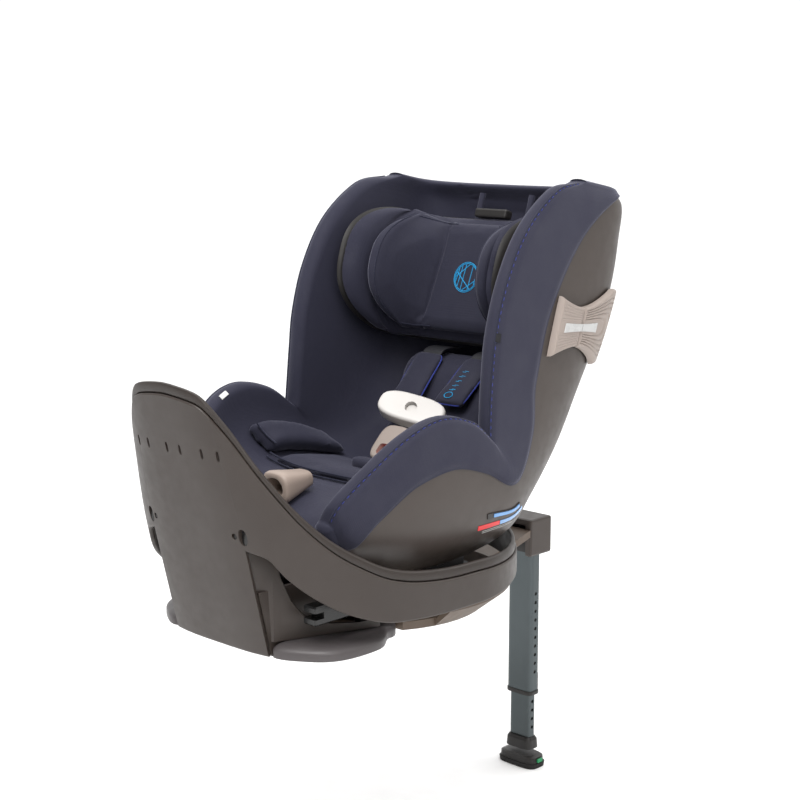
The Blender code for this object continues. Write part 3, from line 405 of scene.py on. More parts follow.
def plastic(name, colour, roughness, grain=900, depth=0.00006, coat=0.0):
    made, tree, bsdf, place = nodes_of(name, colour, roughness)
    fine = noise(tree, place, grain, 4)
    broad = noise(tree, place, 14, 4)
    wear = noise(tree, place, 60, 5)
    tint(tree, bsdf, broad, colour, 0.10)
    tree.links.new(spread(tree, wear, roughness - 0.05, roughness + 0.06),
                   bsdf.inputs["Roughness"])
    bump(tree, bsdf, fine, 0.35, depth)
    bsdf.inputs["Coat Weight"].default_value = coat
    bsdf.inputs["Specular IOR Level"].default_value = 0.34
    return made


def fabric(name, colour, period=0.0011, depth=0.00022, sheen=0.26):
    """A close knit: crossed fine ribs, fuzz and a soft sheen."""
    made, tree, bsdf, place = nodes_of(name, colour, 0.78)
    total = None
    for axis in ("X", "Y", "Z"):
        values = {"Scale": WAVE_PERIOD / period, "Distortion": 0.6, "Detail": 1.0}
        wave = added(tree, "ShaderNodeTexWave", values, {"Vector": place})
        wave.bands_direction = axis
        if total is None:
            total = wave.outputs["Fac"]
        else:
            both = added(tree, "ShaderNodeMath", {}, {0: total, 1: wave.outputs["Fac"]})
            total = both.outputs["Value"]
    fuzz = noise(tree, place, 1400, 3)
    broad = noise(tree, place, 22, 4)
    tint(tree, bsdf, noise(tree, place, 700, 4), colour, 0.14)
    first = bump(tree, bsdf, total, 0.30, depth)
    second = bump(tree, bsdf, fuzz, 0.25, depth, first)
    bump(tree, bsdf, broad, 0.10, 0.0012, second)
    tree.links.new(spread(tree, broad, 0.70, 0.86), bsdf.inputs["Roughness"])
    bsdf.inputs["Sheen Weight"].default_value = sheen
    bsdf.inputs["Sheen Roughness"].default_value = 0.38
    bsdf.inputs["Sheen Tint"].default_value = (0.62, 0.63, 0.80, 1)
    bsdf.inputs["Specular IOR Level"].default_value = 0.30
    return made


def metal(name, colour, roughness, stretch):
    made, tree, bsdf, place = nodes_of(name, colour, roughness, 1.0)
    brushed = noise(tree, place, 700, 4, stretch)
    tree.links.new(spread(tree, brushed, roughness - 0.06, roughness + 0.10),
                   bsdf.inputs["Roughness"])
    tint(tree, bsdf, noise(tree, place, 30, 3), colour, 0.06)
    bump(tree, bsdf, brushed, 0.25, 0.00004)
    return made


def webbing(name, colour):
    """Flat woven strap with ribs across it."""
    made, tree, bsdf, place = nodes_of(name, colour, 0.6)
    wave = added(tree, "ShaderNodeTexWave", {"Scale": WAVE_PERIOD / 0.0018}, {"Vector": place})
    wave.bands_direction = "X"
    ribs = added(tree, "ShaderNodeTexWave", {"Scale": WAVE_PERIOD / 0.0012}, {"Vector": place})
    ribs.bands_direction = "Z"
    first = bump(tree, bsdf, wave.outputs["Fac"], 0.5, 0.0003)
    bump(tree, bsdf, ribs.outputs["Fac"], 0.4, 0.0002, first)
    tint(tree, bsdf, noise(tree, place, 500, 3), colour, 0.25)
    return made


# The base's brown-grey plastic with painted shade: its own colour, made darker than the shell's so
# that the panel, which faces away from the light, comes out dark.
SKIN_PAINTED_SHADE = plastic("collar_plastic_painted_shade", (0.036, 0.028, 0.024), 0.44)
SHELL = plastic("shell_plastic", (0.046, 0.036, 0.031), 0.42)
LIP = plastic("lip_plastic", (0.028, 0.022, 0.019), 0.44)
DARK = plastic("dark_plastic", (0.016, 0.0145, 0.014), 0.42)
GLOSS = plastic("gloss_dark_plastic", (0.010, 0.010, 0.010), 0.20, 300, 0.00010)
FOOT = plastic("light_grey_plastic", (0.066, 0.059, 0.060), 0.40)
TAUPE = plastic("taupe_plastic", (0.300, 0.240, 0.205), 0.46, 700)
BEIGE = plastic("beige_plastic", (0.270, 0.226, 0.200), 0.46, 700)
INSERT = plastic("pearl_insert", (0.42, 0.42, 0.415), 0.26, 400, 0.00008, 0.4)
WHITE = plastic("warm_white_plastic", (0.56, 0.54, 0.52), 0.32)
PALE_GREY = plastic("pale_grey_plastic", (0.42, 0.41, 0.40), 0.36)
RED = plastic("red_plastic", (0.66, 0.018, 0.022), 0.34)
GREEN = plastic("green_plastic", (0.010, 0.220, 0.080), 0.36)
WINDOW = plastic("blue_window", (0.085, 0.260, 0.560), 0.18, 500, 0.00003, 0.6)
STEEL = metal("zinc_steel", (0.56, 0.56, 0.57), 0.30, (1, 1, 6))
ALUMINIUM = metal("anodised_aluminium", (0.078, 0.090, 0.094), 0.34, (12, 12, 0.5))
RUBBER = plastic("rubber", (0.016, 0.015, 0.015), 0.80, 500, 0.0002)
NAVY = fabric("navy_knit", (0.0190, 0.0190, 0.0350))
NAVY_PAD = fabric("navy_pad_knit", (0.0175, 0.0175, 0.0325))
PIPING = fabric("navy_piping", (0.012, 0.013, 0.028), 0.0008, 0.0002, 0.2)
BLUE_THREAD = fabric("blue_thread", (0.020, 0.032, 0.210), 0.0006, 0.0002, 0.3)
CYAN_THREAD = fabric("cyan_thread", (0.010, 0.310, 0.620), 0.0006, 0.0002, 0.3)
BELT = webbing("black_webbing", (0.014, 0.014, 0.018))
TAG_WHITE = fabric("white_tag", (0.62, 0.62, 0.60), 0.0008, 0.0001, 0.1)
TAG_BLACK = fabric("black_tag", (0.010, 0.010, 0.012), 0.0008, 0.0002, 0.1)
PAN = plastic("warm_brown_plastic", (0.100, 0.074, 0.056), 0.48)
FLOOR_LOOK = plastic("pale_floor", (0.96, 0.96, 0.96), 0.8, 120, 0.0001)


# ------------------------------------------------------------------ base skin
def half_width(z):
    return HALF_WIDTH * (1 - NARROWING * smooth((z - 0.14) / 0.22))


def collar_point(angle, z, inset=0.0):
    """A point of the wrap-round wall, by its angle from +Y towards +X in degrees."""
    s, c = math.sin(math.radians(angle)), math.cos(math.radians(angle))
    if c >= 0:
        return Vector(((HALF_WIDTH - inset) * s, (HALF_WIDTH - inset) * c, z))
    bend = 2 / POWER
    x = math.copysign((half_width(z) - inset) * abs(s) ** bend, s)
    return Vector((x, -(FOOT_REACH + LEAN * z - inset) * abs(c) ** bend, z))


def panel_face(x, z):
    s = (abs(x) / HALF_WIDTH) ** (POWER / 2)
    return -(FOOT_REACH + LEAN * z) * math.sqrt(1 - s * s) ** (2 / POWER)


def rim(angle):
    return curve_value(RIM, abs(angle))


def band(angle):
    return 0.0 if abs(angle) >= CORNER else curve_value(BAND, abs(angle))


def collar_angles():
    half = steps(0, 150, 75) + steps(151, 164, 26)
    half += [CORNER - 0.5, CORNER - 0.02, CORNER] + steps(166, 180, 14)
    return [-a for a in reversed(half[1:-1])] + half


def collar_skin():
    """The continuous outer moulding: band, panel and its corner edges, with a rounded rim."""
    angles = collar_angles()
    # rows crowd towards both edges so that the rounding is smooth
    shares = [0.5 - 0.5 * math.cos(math.pi * k) for k in steps(0, 1, 40)]
    round_off = 0.0022

    def grid(inset):
        rows = []
        for k in shares:
            row = []
            for a in angles:
                low, high = band(a), rim(a) - 0.0016
                z = low + (high - low) * k
                ease = max(1 - (high - z) / round_off, 1 - (z - low) / round_off, 0)
                pull = 0.0016 if inset == 0 else -0.0014
                row.append(collar_point(a, z, inset + pull * ease ** 2))
            rows.append(row)
        return rows

    skin = from_grids("collar_skin", grid(0.0), grid(WALL), SKIN_PAINTED_SHADE, None, closed=True, shade=30)
    cutters = []
    for x in [s * side for s in SLOT_X for side in (-1, 1)]:
        y = panel_face(x, SLOT_Z)
        cutters.append(stack("cut", [(-.012, .0024, .0068, 2.6), (.012, .0024, .0068, 2.6)], SKIN_PAINTED_SHADE,
                             None, turned(76), (x, y, SLOT_Z), 24))
    for side in (-1, 1):
        y = panel_face(BUTTON_X, BUTTON_Z)
        cutters.append(stack("cut", [(-.02, .0064, .0114, 2.4), (.02, .0064, .0114, 2.4)], SKIN_PAINTED_SHADE,
                             None, turned(90), (side * BUTTON_X, y, BUTTON_Z), 32))
        y = panel_face(SCREW_X, BUTTON_Z)
        cutters.append(stack("cut", [(-.02, .0042, .0042, 2), (.02, .0042, .0042, 2)], SKIN_PAINTED_SHADE,
                             None, turned(90), (side * SCREW_X, y, BUTTON_Z), 24))
    cut_all(skin, cutters)
    shaded(skin, 30)
    stands_for(skin, "base", "base_collar")


def cut_all(obj, cutters):
    """Cuts the cutters out of obj and removes them."""
    for k, other in enumerate(cutters):
        modifier = obj.modifiers.new(f"cut_{k}", "BOOLEAN")
        modifier.object = other
        modifier.operation = "DIFFERENCE"
        modifier.solver = "EXACT"
    applied(obj)
    for other in cutters:
        bpy.data.objects.remove(other)


def applied(obj):
    """Replaces obj's mesh by what its modifiers make of it."""
    bpy.context.view_layer.update()
    seen = obj.evaluated_get(bpy.context.evaluated_depsgraph_get())
    mesh = bpy.data.meshes.new_from_object(seen)
    obj.modifiers.clear()
    obj.data = mesh


def collar_lip():
    """The inner lip that rises above the skin's rim, behind a thin seam."""
    angles = collar_angles()
    inset_out, inset_in = WALL + 0.0003, WALL + 0.0033
    profile = [(-LIP_DEPTH, inset_out), (-.004, inset_out), (-.0012, inset_out), (-.0010, .0042),
               (.0006, .0026), (.0030, .0022), (LIP_RISE - .003, .0032),
               (LIP_RISE - .0008, .0046), (LIP_RISE, .0068)]
    inner = [(-LIP_DEPTH, inset_in), (-.010, inset_in), (-.004, inset_in), (-.001, inset_in),
             (.002, inset_in), (.006, inset_in), (LIP_RISE - .003, inset_in),
             (LIP_RISE - .0008, inset_in - .0004), (LIP_RISE, inset_in - .0018)]
    grids = [[[collar_point(a, rim(a) + z, inset) for a in angles] for z, inset in rows]
             for rows in (profile, inner)]
    lip = from_grids("collar_lip", *grids, LIP, "base", closed=True, shade=40)
    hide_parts("collar_liner")


# ------------------------------------------------------------------ bucket and upholstery
def seat_point(u, v, side=0.0, back=0.0, front=None):
    """A point of the bucket: u is -1 to 1 across, v is 0 to 1 from the front edge to the top."""
    oy, oz, ry, rz, width, power, _, iy, iz = spline(SECTIONS, v)
    depth = math.hypot(iy - oy, iz - oz)
    share = back / depth if front is None else 1 - front / depth
    sy, sz = oy + (iy - oy) * share, oz + (iz - oz) * share
    angle = abs(u) * math.pi / 2
    x = math.copysign((width - side) * math.sin(angle) ** (2 / power), u)
    t = 1 - max(math.cos(angle), 0) ** (2 / power)
    return Vector((x, sy + (ry - sy) * t, sz + (rz - sz) * t))


def u_at(t, v):
    """The u at a share t of the way from the centre line to the rim."""
    power = spline(SECTIONS, v)[5]
    return math.acos(max(1 - t, 0) ** (power / 2)) / (math.pi / 2)


def cover_edge(v):
    """Where across the section the side cover starts, as a share."""
    return curve_value(COVER_EDGE, v * LAST)


def forward(v):
    """The way the bucket's flank points, from the centre line to the rim."""
    oy, oz, ry, rz = spline(SECTIONS, v)[:4]
    return Vector((0, ry - oy, rz - oz)).normalized()


def rim_away(v):
    """The way out of the bucket at the rim, which turns square to the rim's line on the back."""
    low, high = (spline(SECTIONS, min(max(v + d, 0), 1))[2:4] for d in (-.008, .008))
    run = Vector((0, high[0] - low[0], high[1] - low[1])).normalized()
    share = smooth((v * LAST - 8.6) / 1.6)
    return (forward(v) * (1 - share) + Vector((0, -run.z, run.y)) * share).normalized()


def roll_point(side, v, phi, grow=0.0):
    """A point of the padded roll along the rim; phi is 0 outside and 180 inside.

    The roll is fullest beside the head and flattens at the top corners.
    """
    outer = seat_point(side, v, side=-COVER)
    inner = seat_point(side, v, side=LINER_SIDE, front=0.0)
    half = (outer - inner) / 2
    a = math.radians(phi)
    bulge = (0.0125 + 0.0045 * dent(v - 0.86, 0.09)) * (1 - 0.9 * smooth((v - 0.92) / 0.08)) + grow
    return ((outer + inner) / 2 + half * math.cos(a) * (1 + grow / half.length)
            + rim_away(v) * bulge * math.sin(a))


def flank_points(side, v, deep):
    """The cover's flank at one row, from its edge up to the rim, thin at the edge."""
    start = cover_edge(v)
    points = []
    for k in range(FLANK):
        t = start + (1 - start) * (k / FLANK) ** 1.3
        stand = COVER_UNDER if deep else 0.0016 + (COVER - 0.0016) * smooth((t - start) / 0.050)
        points.append(seat_point(side * u_at(t, v), v, side=-stand, back=-stand))
    return points


def upholstery_row(v, deep):
    """One row of the cover, from one boundary over both rims to the other, with its outer twin."""
    skin = COVER_SHEET if deep else 0.0
    row = [flank_points(side, v, deep) + [roll_point(side, v, 180 * k / ROLL, -skin)
                                          for k in range(ROLL)] for side in (-1, 1)]
    inside = [seat_point(u, v, side=LINER_SIDE - skin, front=skin) for u in steps(-1, 1, INSIDE)]
    return row[0] + inside + row[1][::-1]


def outer_twin(v, deep):
    """The points that each column of the cover meets where it wraps over the front or the top."""
    stand = COVER_UNDER if deep else COVER
    row = [flank_points(side, v, deep) + [seat_point(side, v, side=-stand)] * ROLL
           for side in (-1, 1)]
    inside = [seat_point(u, v, side=-stand, back=-stand) for u in steps(-1, 1, INSIDE)]
    return row[0] + inside + row[1][::-1]


def wrapped(v, towards, deep, bulge):
    """The rows that carry the cover over an end of the bucket onto its outside."""
    skin = COVER_SHEET if deep else 0.0
    inner, outer = upholstery_row(v, deep), outer_twin(v, deep)
    rows = []
    for a in steps(0, math.pi, 8)[1:]:
        row = []
        for p, q in zip(inner, outer):
            half = (p - q) / 2
            reach = max(half.length * bulge - skin, 0)
            row.append((p + q) / 2 + half * math.cos(a) + towards * reach * math.sin(a))
        rows.append(row)
    return rows


def upholstery():
    """The whole padded cover: inside, rolled rims, side flanks and the wraps at both ends."""
    grids = []
    for deep in (False, True):
        low = wrapped(0, FRONT_WAY, deep, FRONT_BULGE)
        high = wrapped(1, TOP_WAY, deep, TOP_BULGE)
        middle = [upholstery_row(v, deep) for v in steps(0, 1, ROWS)]
        if not deep:
            middle = [[settled(p, v) for p in row] for row, v in zip(middle, steps(0, 1, ROWS))]
        grids.append(low[::-1] + middle + high)
    cover = from_grids("upholstery", *grids, NAVY, None, shade=75)
    stands_for(cover, "seat", "seat_liner", "side_cover_left", "side_cover_right", "seat_foam")


def settled(p, v):
    """Presses the sewn seams of the inside a little into the padding."""
    place = v * LAST
    press = 0.0
    if abs(p.x) < 0.19:
        seam = 0.074 + 0.030 * smooth((place - 12.4) / 1.6)
        press += 0.0044 * dent(abs(p.x) - seam, 0.0034) * smooth((place - 11.2) / 0.5)
        press += 0.0020 * dent((place - 3.05) * 0.05, 0.0022) * smooth((0.165 - abs(p.x)) / 0.02)
    return p - forward(v) * press


def shell_skin():
    """The hard bucket, smooth all over."""
    grids = [[[seat_point(u, v, side=off, back=off) for u in steps(-1, 1, 80)]
              for v in steps(0, 1, ROWS)] for off in (0.0, 0.0055)]
    skin = from_grids("shell_skin", *grids, SHELL, "seat", shade=45)
    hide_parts("seat_shell")
    for side, word in SIDES:
        runner(side, word)


def runner(side, word):
    """The curved runner under the shell that rides on the turntable's rail."""
    cy, cz = RECLINE
    inner, outer = 0.4010, 0.4155
    loops = []
    for a in steps(math.asin((-.100 - cy) / outer), math.asin((.130 - cy) / outer), 40):
        loops.append([Vector((side * .070 + dx, cy + r * math.sin(a), cz - r * math.cos(a)))
                      for dx, r in ((-.010, inner), (.010, inner), (.010, outer - .001),
                                    (.009, outer), (-.009, outer), (-.010, outer - .001))])
    loft(f"runner_{word}", loops, DARK, "seat", 30)


def rim_piping():
    """The corded seam along the rim's front, with its row of blue stitches."""
    for side, word in SIDES:
        rows = steps(0.012, 0.985, 420)
        cord = [roll_point(side, v, 50, 0.0002) for v in rows]
        thread = [roll_point(side, v, 43, 0.0) for v in rows]
        out = [(roll_point(side, v, 43, 0.01) - roll_point(side, v, 43, 0.0)).normalized()
               for v in rows]
        tube(f"rim_piping_{word}", cord, 0.0016, PIPING, "seat")
        dashes(f"rim_stitches_{word}", thread, out, BLUE_THREAD, 0.0050, 0.0046, 0.0006)
    front = [front_seam(x) for x in steps(-1, 1, 120)]
    tube("front_piping", front, 0.0016, PIPING, "seat")
    thread = [p + Vector((0, -.0022, -.0022)) for p in front]
    normals = [Vector((0, -.85, .5))] * len(thread)
    dashes("front_stitches", thread, normals, BLUE_THREAD, 0.0055, 0.0040, 0.0008)


def front_seam(x):
    """The seam along the seat's front edge, from rim to rim."""
    u = math.copysign(abs(x) ** 0.9, x)
    inner = seat_point(u, 0, side=LINER_SIDE, front=0.0)
    outer = seat_point(u, 0, side=-COVER, back=-COVER)
    half = (inner - outer) / 2
    a = math.radians(30)
    return ((inner + outer) / 2 + half * math.cos(a)
            + FRONT_WAY * (half.length * FRONT_BULGE + .0006) * math.sin(a))


def tags():
    """Two small sewn labels, left blank."""
    for name, side, v, look, half in (("tag_black", 1, 9.92, TAG_BLACK, .006),
                                      ("tag_white", -1, 3.30, TAG_WHITE, .008)):
        rows = steps(v - half * 16, v + half * 16, 6)
        phis = steps(20, 48, 6) if side > 0 else steps(120, 150, 6)
        grids = [[[roll_point(side, k / LAST, phi, grow) for phi in phis] for k in rows]
                 for grow in (.0016, .0004)]
        from_grids(name, *grids, look, "seat", shade=50)


def corner_filler():
    """Closes the wedge between the panel's edge and the low wall beside it."""
    for side, word in SIDES:
        grids = []
        for back in (0.0, 0.0022):
            grid = []
            for k in range(13):
                z = .0205 + (.1465 - .0205) * k / 12
                start = collar_point(side * 166.2, z, WALL + .0004 + back)
                end = Vector((side * (.0978 - back), -.2868 + back, z))
                grid.append([start.lerp(end, t) for t in steps(0, 1, 8)])
            grids.append(grid)
        from_grids(f"corner_filler_{word}", *grids, SKIN_PAINTED_SHADE, "base", shade=50)


# ------------------------------------------------------------------ cushions
def clothed(obj, frames, pressure, stiffness, bending, cap):
    """A short run of cloth under pressure that moves no vertex by more than cap."""
    rest = [v.co.copy() for v in obj.data.vertices]
    cloth = obj.modifiers.new("cloth", "CLOTH")
    settings = cloth.settings
    settings.quality = 4
    settings.use_pressure = True
    settings.uniform_pressure_force = pressure
    settings.tension_stiffness = settings.compression_stiffness = stiffness
    settings.bending_stiffness = bending
    settings.effector_weights.gravity = 0
    cloth.collision_settings.use_collision = False
    cloth.point_cache.frame_start = 1
    cloth.point_cache.frame_end = frames
    for k in range(1, frames + 1):
        scene.frame_set(k)
    applied(obj)
    for v, p in zip(obj.data.vertices, rest):
        move = v.co - p
        if move.length > cap:
            v.co = p + move * (cap / move.length)
    scene.frame_set(1)


def puffed(obj, voxel, cap):
    """Fills out a closed pad on an even mesh."""
    even = obj.modifiers.new("remesh", "REMESH")
    even.mode = "VOXEL"
    even.voxel_size = voxel
    applied(obj)
    clothed(obj, 20, 4.0, 18, 0.6, cap)
    relaxed(obj)


def relaxed(obj):
    """Evens a mesh out a little."""
    bm = bmesh.new()
    bm.from_mesh(obj.data)
    for _ in range(2):
        bmesh.ops.smooth_vert(bm, verts=bm.verts, factor=0.5, use_axis_x=True, use_axis_y=True,
                              use_axis_z=True)
    bm.to_mesh(obj.data)
    bm.free()


def redressed(obj, look):
    """Puts its look back on a mesh that the simulation has rebuilt."""
    obj.data.materials.clear()
    obj.data.materials.append(look)
    obj.data.shade_smooth()


def cushion(obj, cad, voxel=0.005, cap=0.004):
    """Simulates and smooths a padded piece and puts it on the seat in place of a CAD node."""
    look = obj.data.materials[0]
    puffed(obj, voxel, cap)
    redressed(obj, look)
    sub = obj.modifiers.new("subdivision", "SUBSURF")
    sub.levels = sub.render_levels = 1
    applied(obj)
    obj.data.shade_smooth()
    stands_for(obj, "seat", cad)


def liner_pad(name, across, along, thickness, counts=(26, 26), side_share=1.0, shrink=0.0):
    """A cushion lying on the bucket's padded surface, over a range of u and of v."""
    def crown(k, count):
        place = abs(2 * k / count - 1)
        return (1 - place ** 6) ** 0.5

    def grid(lift):
        rows = []
        for r, v in enumerate(steps(*along, counts[1])):
            row = []
            for c, u in enumerate(steps(*across, counts[0])):
                high = 0.002 + (thickness - shrink) * crown(r, counts[1]) * crown(c, counts[0])
                rise = 0.0033 + lift * high
                row.append(seat_point(u, v, LINER_SIDE + rise * side_share, front=-rise))
            rows.append(row)
        return rows
    return from_grids(name, grid(1), grid(0), NAVY_PAD, None, shade=180)


def inlay_cords():
    """Corded edges of the newborn inlay: its front lip and the hip cushions' fronts."""
    for k, (v, rise) in enumerate(((3.34, .0035), (3.40, .0115))):
        line = [seat_point(u, v / LAST, LINER_SIDE + rise, front=-rise)
                for u in steps(-.44, .44, 50)]
        tube(f"inlay_lip_{k}", line, .0014, PIPING, "seat", 8)
    for side, word in SIDES:
        line = [seat_point(side * u, 3.62 / LAST, LINER_SIDE + .026, front=-.026)
                for u in steps(.47, .78, 20)]
        tube(f"hip_cord_{word}", line, .0014, PIPING, "seat", 8)


def inlays():
    seat = liner_pad("seat_cushion", (-.40, .40), (3.3 / LAST, 5.9 / LAST), .009)
    cushion(seat, "seat_inlay")
    back = liner_pad("back_cushion", (-.22, .22), (6.5 / LAST, 9.35 / LAST), .078, (26, 34), .1,
                     .003)
    cushion(back, "back_inlay")
    for side, word in SIDES:
        ends = sorted((side * .45, side * .80))
        bolster = liner_pad(f"hip_cushion_{word}", ends, (3.5 / LAST, 6.3 / LAST), .030,
                            shrink=.003)
        cushion(bolster, f"hip_bolster_{word}", cap=0.006)
    crotch = stack("crotch_cushion", soft_edge(0, .018, .030, .013, .006, 3), NAVY_PAD, None, None,
                   (0, -.008, .1945), 40)
    cushion(crotch, "crotch_pad", voxel=0.0035, cap=0.0015)


# ------------------------------------------------------------------ headrest
def head_place(x, along, ahead):
    """A point by its place across, up the back and forward to the child."""
    return HEAD_AT + Vector((x, 0, 0)) + BACK * along + FACING * ahead


def head_point(u, v, inset, back):
    """The headrest's middle surface; u is -1 to 1 across, v is -1 to 1 up."""
    along = v * HEAD_HALF
    reach = 0.012 + WING * math.sqrt(1 - abs(0.97 * along / HEAD_HALF) ** 2.6)
    angle = abs(u) * math.pi / 2
    x = math.copysign((HEAD_WIDTH - inset) * math.sin(angle) ** 0.5, u)
    ahead = back + (reach - back) * (1 - max(math.cos(angle), 0) ** 0.5)
    return head_place(x, 0.005 + along, ahead)


def inlay_point(u, v, ahead=0.0330, aside=0.0):
    """The inlay's middle surface: a flat middle and two wings that slant to the child."""
    along = 0.005 + v * 0.087
    middle = 0.066 - 0.011 * v
    share = abs(u)
    if share < INLAY_MIDDLE:
        return head_place(middle * u / INLAY_MIDDLE, along, ahead)
    reach = 0.140 * math.sqrt(1 - abs(0.95 * v) ** 2.4) + 0.006
    out = (share - INLAY_MIDDLE) / (1 - INLAY_MIDDLE)
    x = middle + (0.1195 + aside - middle) * out ** 0.75 - 0.010 * out ** 3
    ahead += max(reach - ahead + .001, 0.002) * out ** 1.25
    return head_place(math.copysign(x, u), along, ahead)


def inlay_sag(u, v):
    """The sewn lines between the inlay's wings and its middle."""
    return 0.0030 * dent((abs(u) - INLAY_MIDDLE) * 0.16, 0.0026)


def outer_sag(u, v):
    x = abs(head_point(u, v, .016, .014).x)
    return 0.0026 * dent(x - 0.100, 0.0026) * smooth((abs(v) - 0.75) / 0.12)


def headrest():
    shell = slab("headrest_back", lambda u, v: head_point(u, v, .0032, .0032), .0028, DARK,
                 "headrest")
    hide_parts("headrest_shell")
    pad = slab("headrest_cushion", lambda u, v: head_point(u, v, .0165, .0145), .0092, NAVY, None,
               60, 90, .014, outer_sag)
    settle_cloth(pad, .0030)
    stands_for(pad, "headrest", "headrest_pad")

    def thick(u, v):
        return .0090 + .0015 * smooth((abs(u) - .45) / .3) * (1 - v * v)

    inlay = slab("headrest_inlay", inlay_point, thick, NAVY_PAD, None, 56, 96, .016, inlay_sag)
    settle_cloth(inlay, .0030)
    stands_for(inlay, "headrest", "head_inlay")
    wing_piping(pad, inlay)
    emblem(inlay)


def settle_cloth(obj, cap):
    """A short cloth run on a slab, kept to small moves so that its seams stay."""
    look = obj.data.materials[0]
    clothed(obj, 12, 3.0, 20, 0.8, cap)
    redressed(obj, look)


def laid_on(obj, points, lift):
    """Moves points onto an object's surface, lifted a little off it."""
    out = []
    for p in points:
        found, place, normal, _ = obj.closest_point_on_mesh(p)
        out.append(place + normal * lift if found else p)
    return out


def wing_piping(pad, inlay):
    """Thin corded seams round the wings of both headrest layers."""
    for side, word in SIDES:
        for stem, under, place, at in (
                ("outer", pad, lambda u, v: head_point(u, v, .0072, .0072), .955),
                ("inlay", inlay, lambda u, v: inlay_point(u, v, .0400, -.0060), .975)):
            line = [place(side * at, v) for v in steps(-.95, .95, 60)]
            lower = [place(side * u, -.95) for u in steps(.30, at - .02, 14)]
            upper = [place(side * u, .95) for u in steps(at - .02, .30, 14)]
            seam = laid_on(under, lower + line + upper, .0002)
            tube(f"{stem}_wing_piping_{word}", seam, .0011, PIPING, "headrest")


def emblem(inlay):
    """A round embroidered pattern of rings and spokes on the headrest's middle."""
    def spot(a, r):
        return head_place(r * math.cos(a), .004 + r * math.sin(a), .0424)

    for k, r in enumerate((.0235, .0215)):
        ring = laid_on(inlay, [spot(a, r) for a in circle(48)], .0002)
        tube(f"emblem_ring_{k}", ring, .0006, CYAN_THREAD, "headrest", 6, closed=True)
    for k, (start, end) in enumerate(((100, 250), (120, 225), (60, 290), (20, 330), (80, 180),
                                      (140, 200), (260, 350), (160, 300))):
        line = [spot(math.radians(start), .0205).lerp(spot(math.radians(end), .0205), t)
                for t in steps(0, 1, 10)]
        tube(f"emblem_line_{k}", laid_on(inlay, line, .0002), .0006, CYAN_THREAD, "headrest", 6)


# ------------------------------------------------------------------ harness
def frame_of(along, facing):
    x = Vector(along).normalized()
    z = Vector(facing)
    z = (z - x * z.dot(x)).normalized()
    return Matrix((x, z.cross(x), z)).transposed().to_4x4()


CLIP_AT, CLIP_TURN = Vector((0, .088, .268)), frame_of((.92, .33, -.19), (0, -.72, .69))
BUCKLE_AT, BUCKLE_TURN = Vector((0, .046, .219)), frame_of((1, 0, 0), (0, -.70, .71))


def clip_spot(x, y, z):
    return CLIP_AT + CLIP_TURN.to_3x3() @ Vector((x, y, z))


def shoulder_pad(side, word):
    places = [Vector((side * x, y, z)) for x, y, z in ((.050, .186, .343), (.048, .158, .318),
                                                       (.045, .134, .296), (.043, .118, .281))]
    loops = []
    for k in range(29):
        t = k / 28
        p = path_at(places, t)
        run = heading(places, t)
        flat = run.cross(Vector((1, 0, 0))).normalized()
        end = min(t, 1 - t) / .10
        shape = math.sqrt(max(1 - (1 - min(end, 1)) ** 2, 0))
        half = (.0285 - .003 * (1 - t)) * (0.80 + 0.20 * shape)
        loops.append([p + Vector((a, 0, 0)) + flat * b
                      for a, b in rounded(half, .0012 + .0066 * shape, 3.2, 40)])
    pad = loft(f"shoulder_cushion_{word}", loops, NAVY_PAD, None, 180)
    cushion(pad, f"shoulder_pad_{word}", voxel=.0035, cap=.0015)
    ring = []
    for a in circle(64):
        x = math.copysign(abs(math.cos(a)) ** 0.35, math.cos(a))
        y = math.copysign(abs(math.sin(a)) ** 0.35, math.sin(a))
        p = path_at(places, 0.5 - y * .49)
        ring.append(p + Vector((x * .0275, 0, 0)))
    tube(f"shoulder_piping_{word}", ring, .0011, BLUE_THREAD, "seat", 8, closed=True)
    if side > 0:
        stitched_mark(places)


def stitched_mark(places):
    """A small embroidered ring and a run of plain dashes along the pad."""
    def spot(t, x):
        p = path_at(places, t)
        run = heading(places, t)
        out = run.cross(Vector((1, 0, 0))).normalized()
        if out.y > 0:
            out = -out
        return p + Vector((x, 0, 0)) + out * .0088

    ring = [spot(.80 + .085 * math.sin(a), .0075 * math.cos(a) - .002)
            for a in circle(32)]
    tube("pad_mark_ring", ring, .0006, CYAN_THREAD, "seat", 6, closed=True)
    for k, t in enumerate((.66, .57, .48, .39, .30)):
        for m, shift in enumerate((-.004, .0)):
            line = [spot(t - .018 * m, x + shift) for x in (-.003, 0, .004)]
            tube(f"pad_mark_{k}_{m}", line, .0006, CYAN_THREAD, "seat", 6)


def strap_between(name, points, width, thick, look, body):
    loops = []
    for k in range(25):
        t = k / 24
        p = path_at(points, t)
        run = heading(points, t)
        across = (Vector((1, 0, 0)) - run * run.x).normalized()
        up = run.cross(across)
        loops.append([p + across * a + up * b for a, b in rounded(width / 2, thick / 2, 6, 20)])
    return loft(name, loops, look, body, 60)


def straps():
    for side, word in SIDES:
        shoulder_pad(side, word)
        points = [(side * x, y, z) for x, y, z in ((.052, .236, .347), (.051, .212, .3505),
                                                   (.0505, .193, .3485), (.050, .180, .338))]
        belt = strap_between(f"shoulder_belt_{word}", points, .038, .0018, BELT, "seat")
        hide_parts(f"shoulder_strap_{word}")


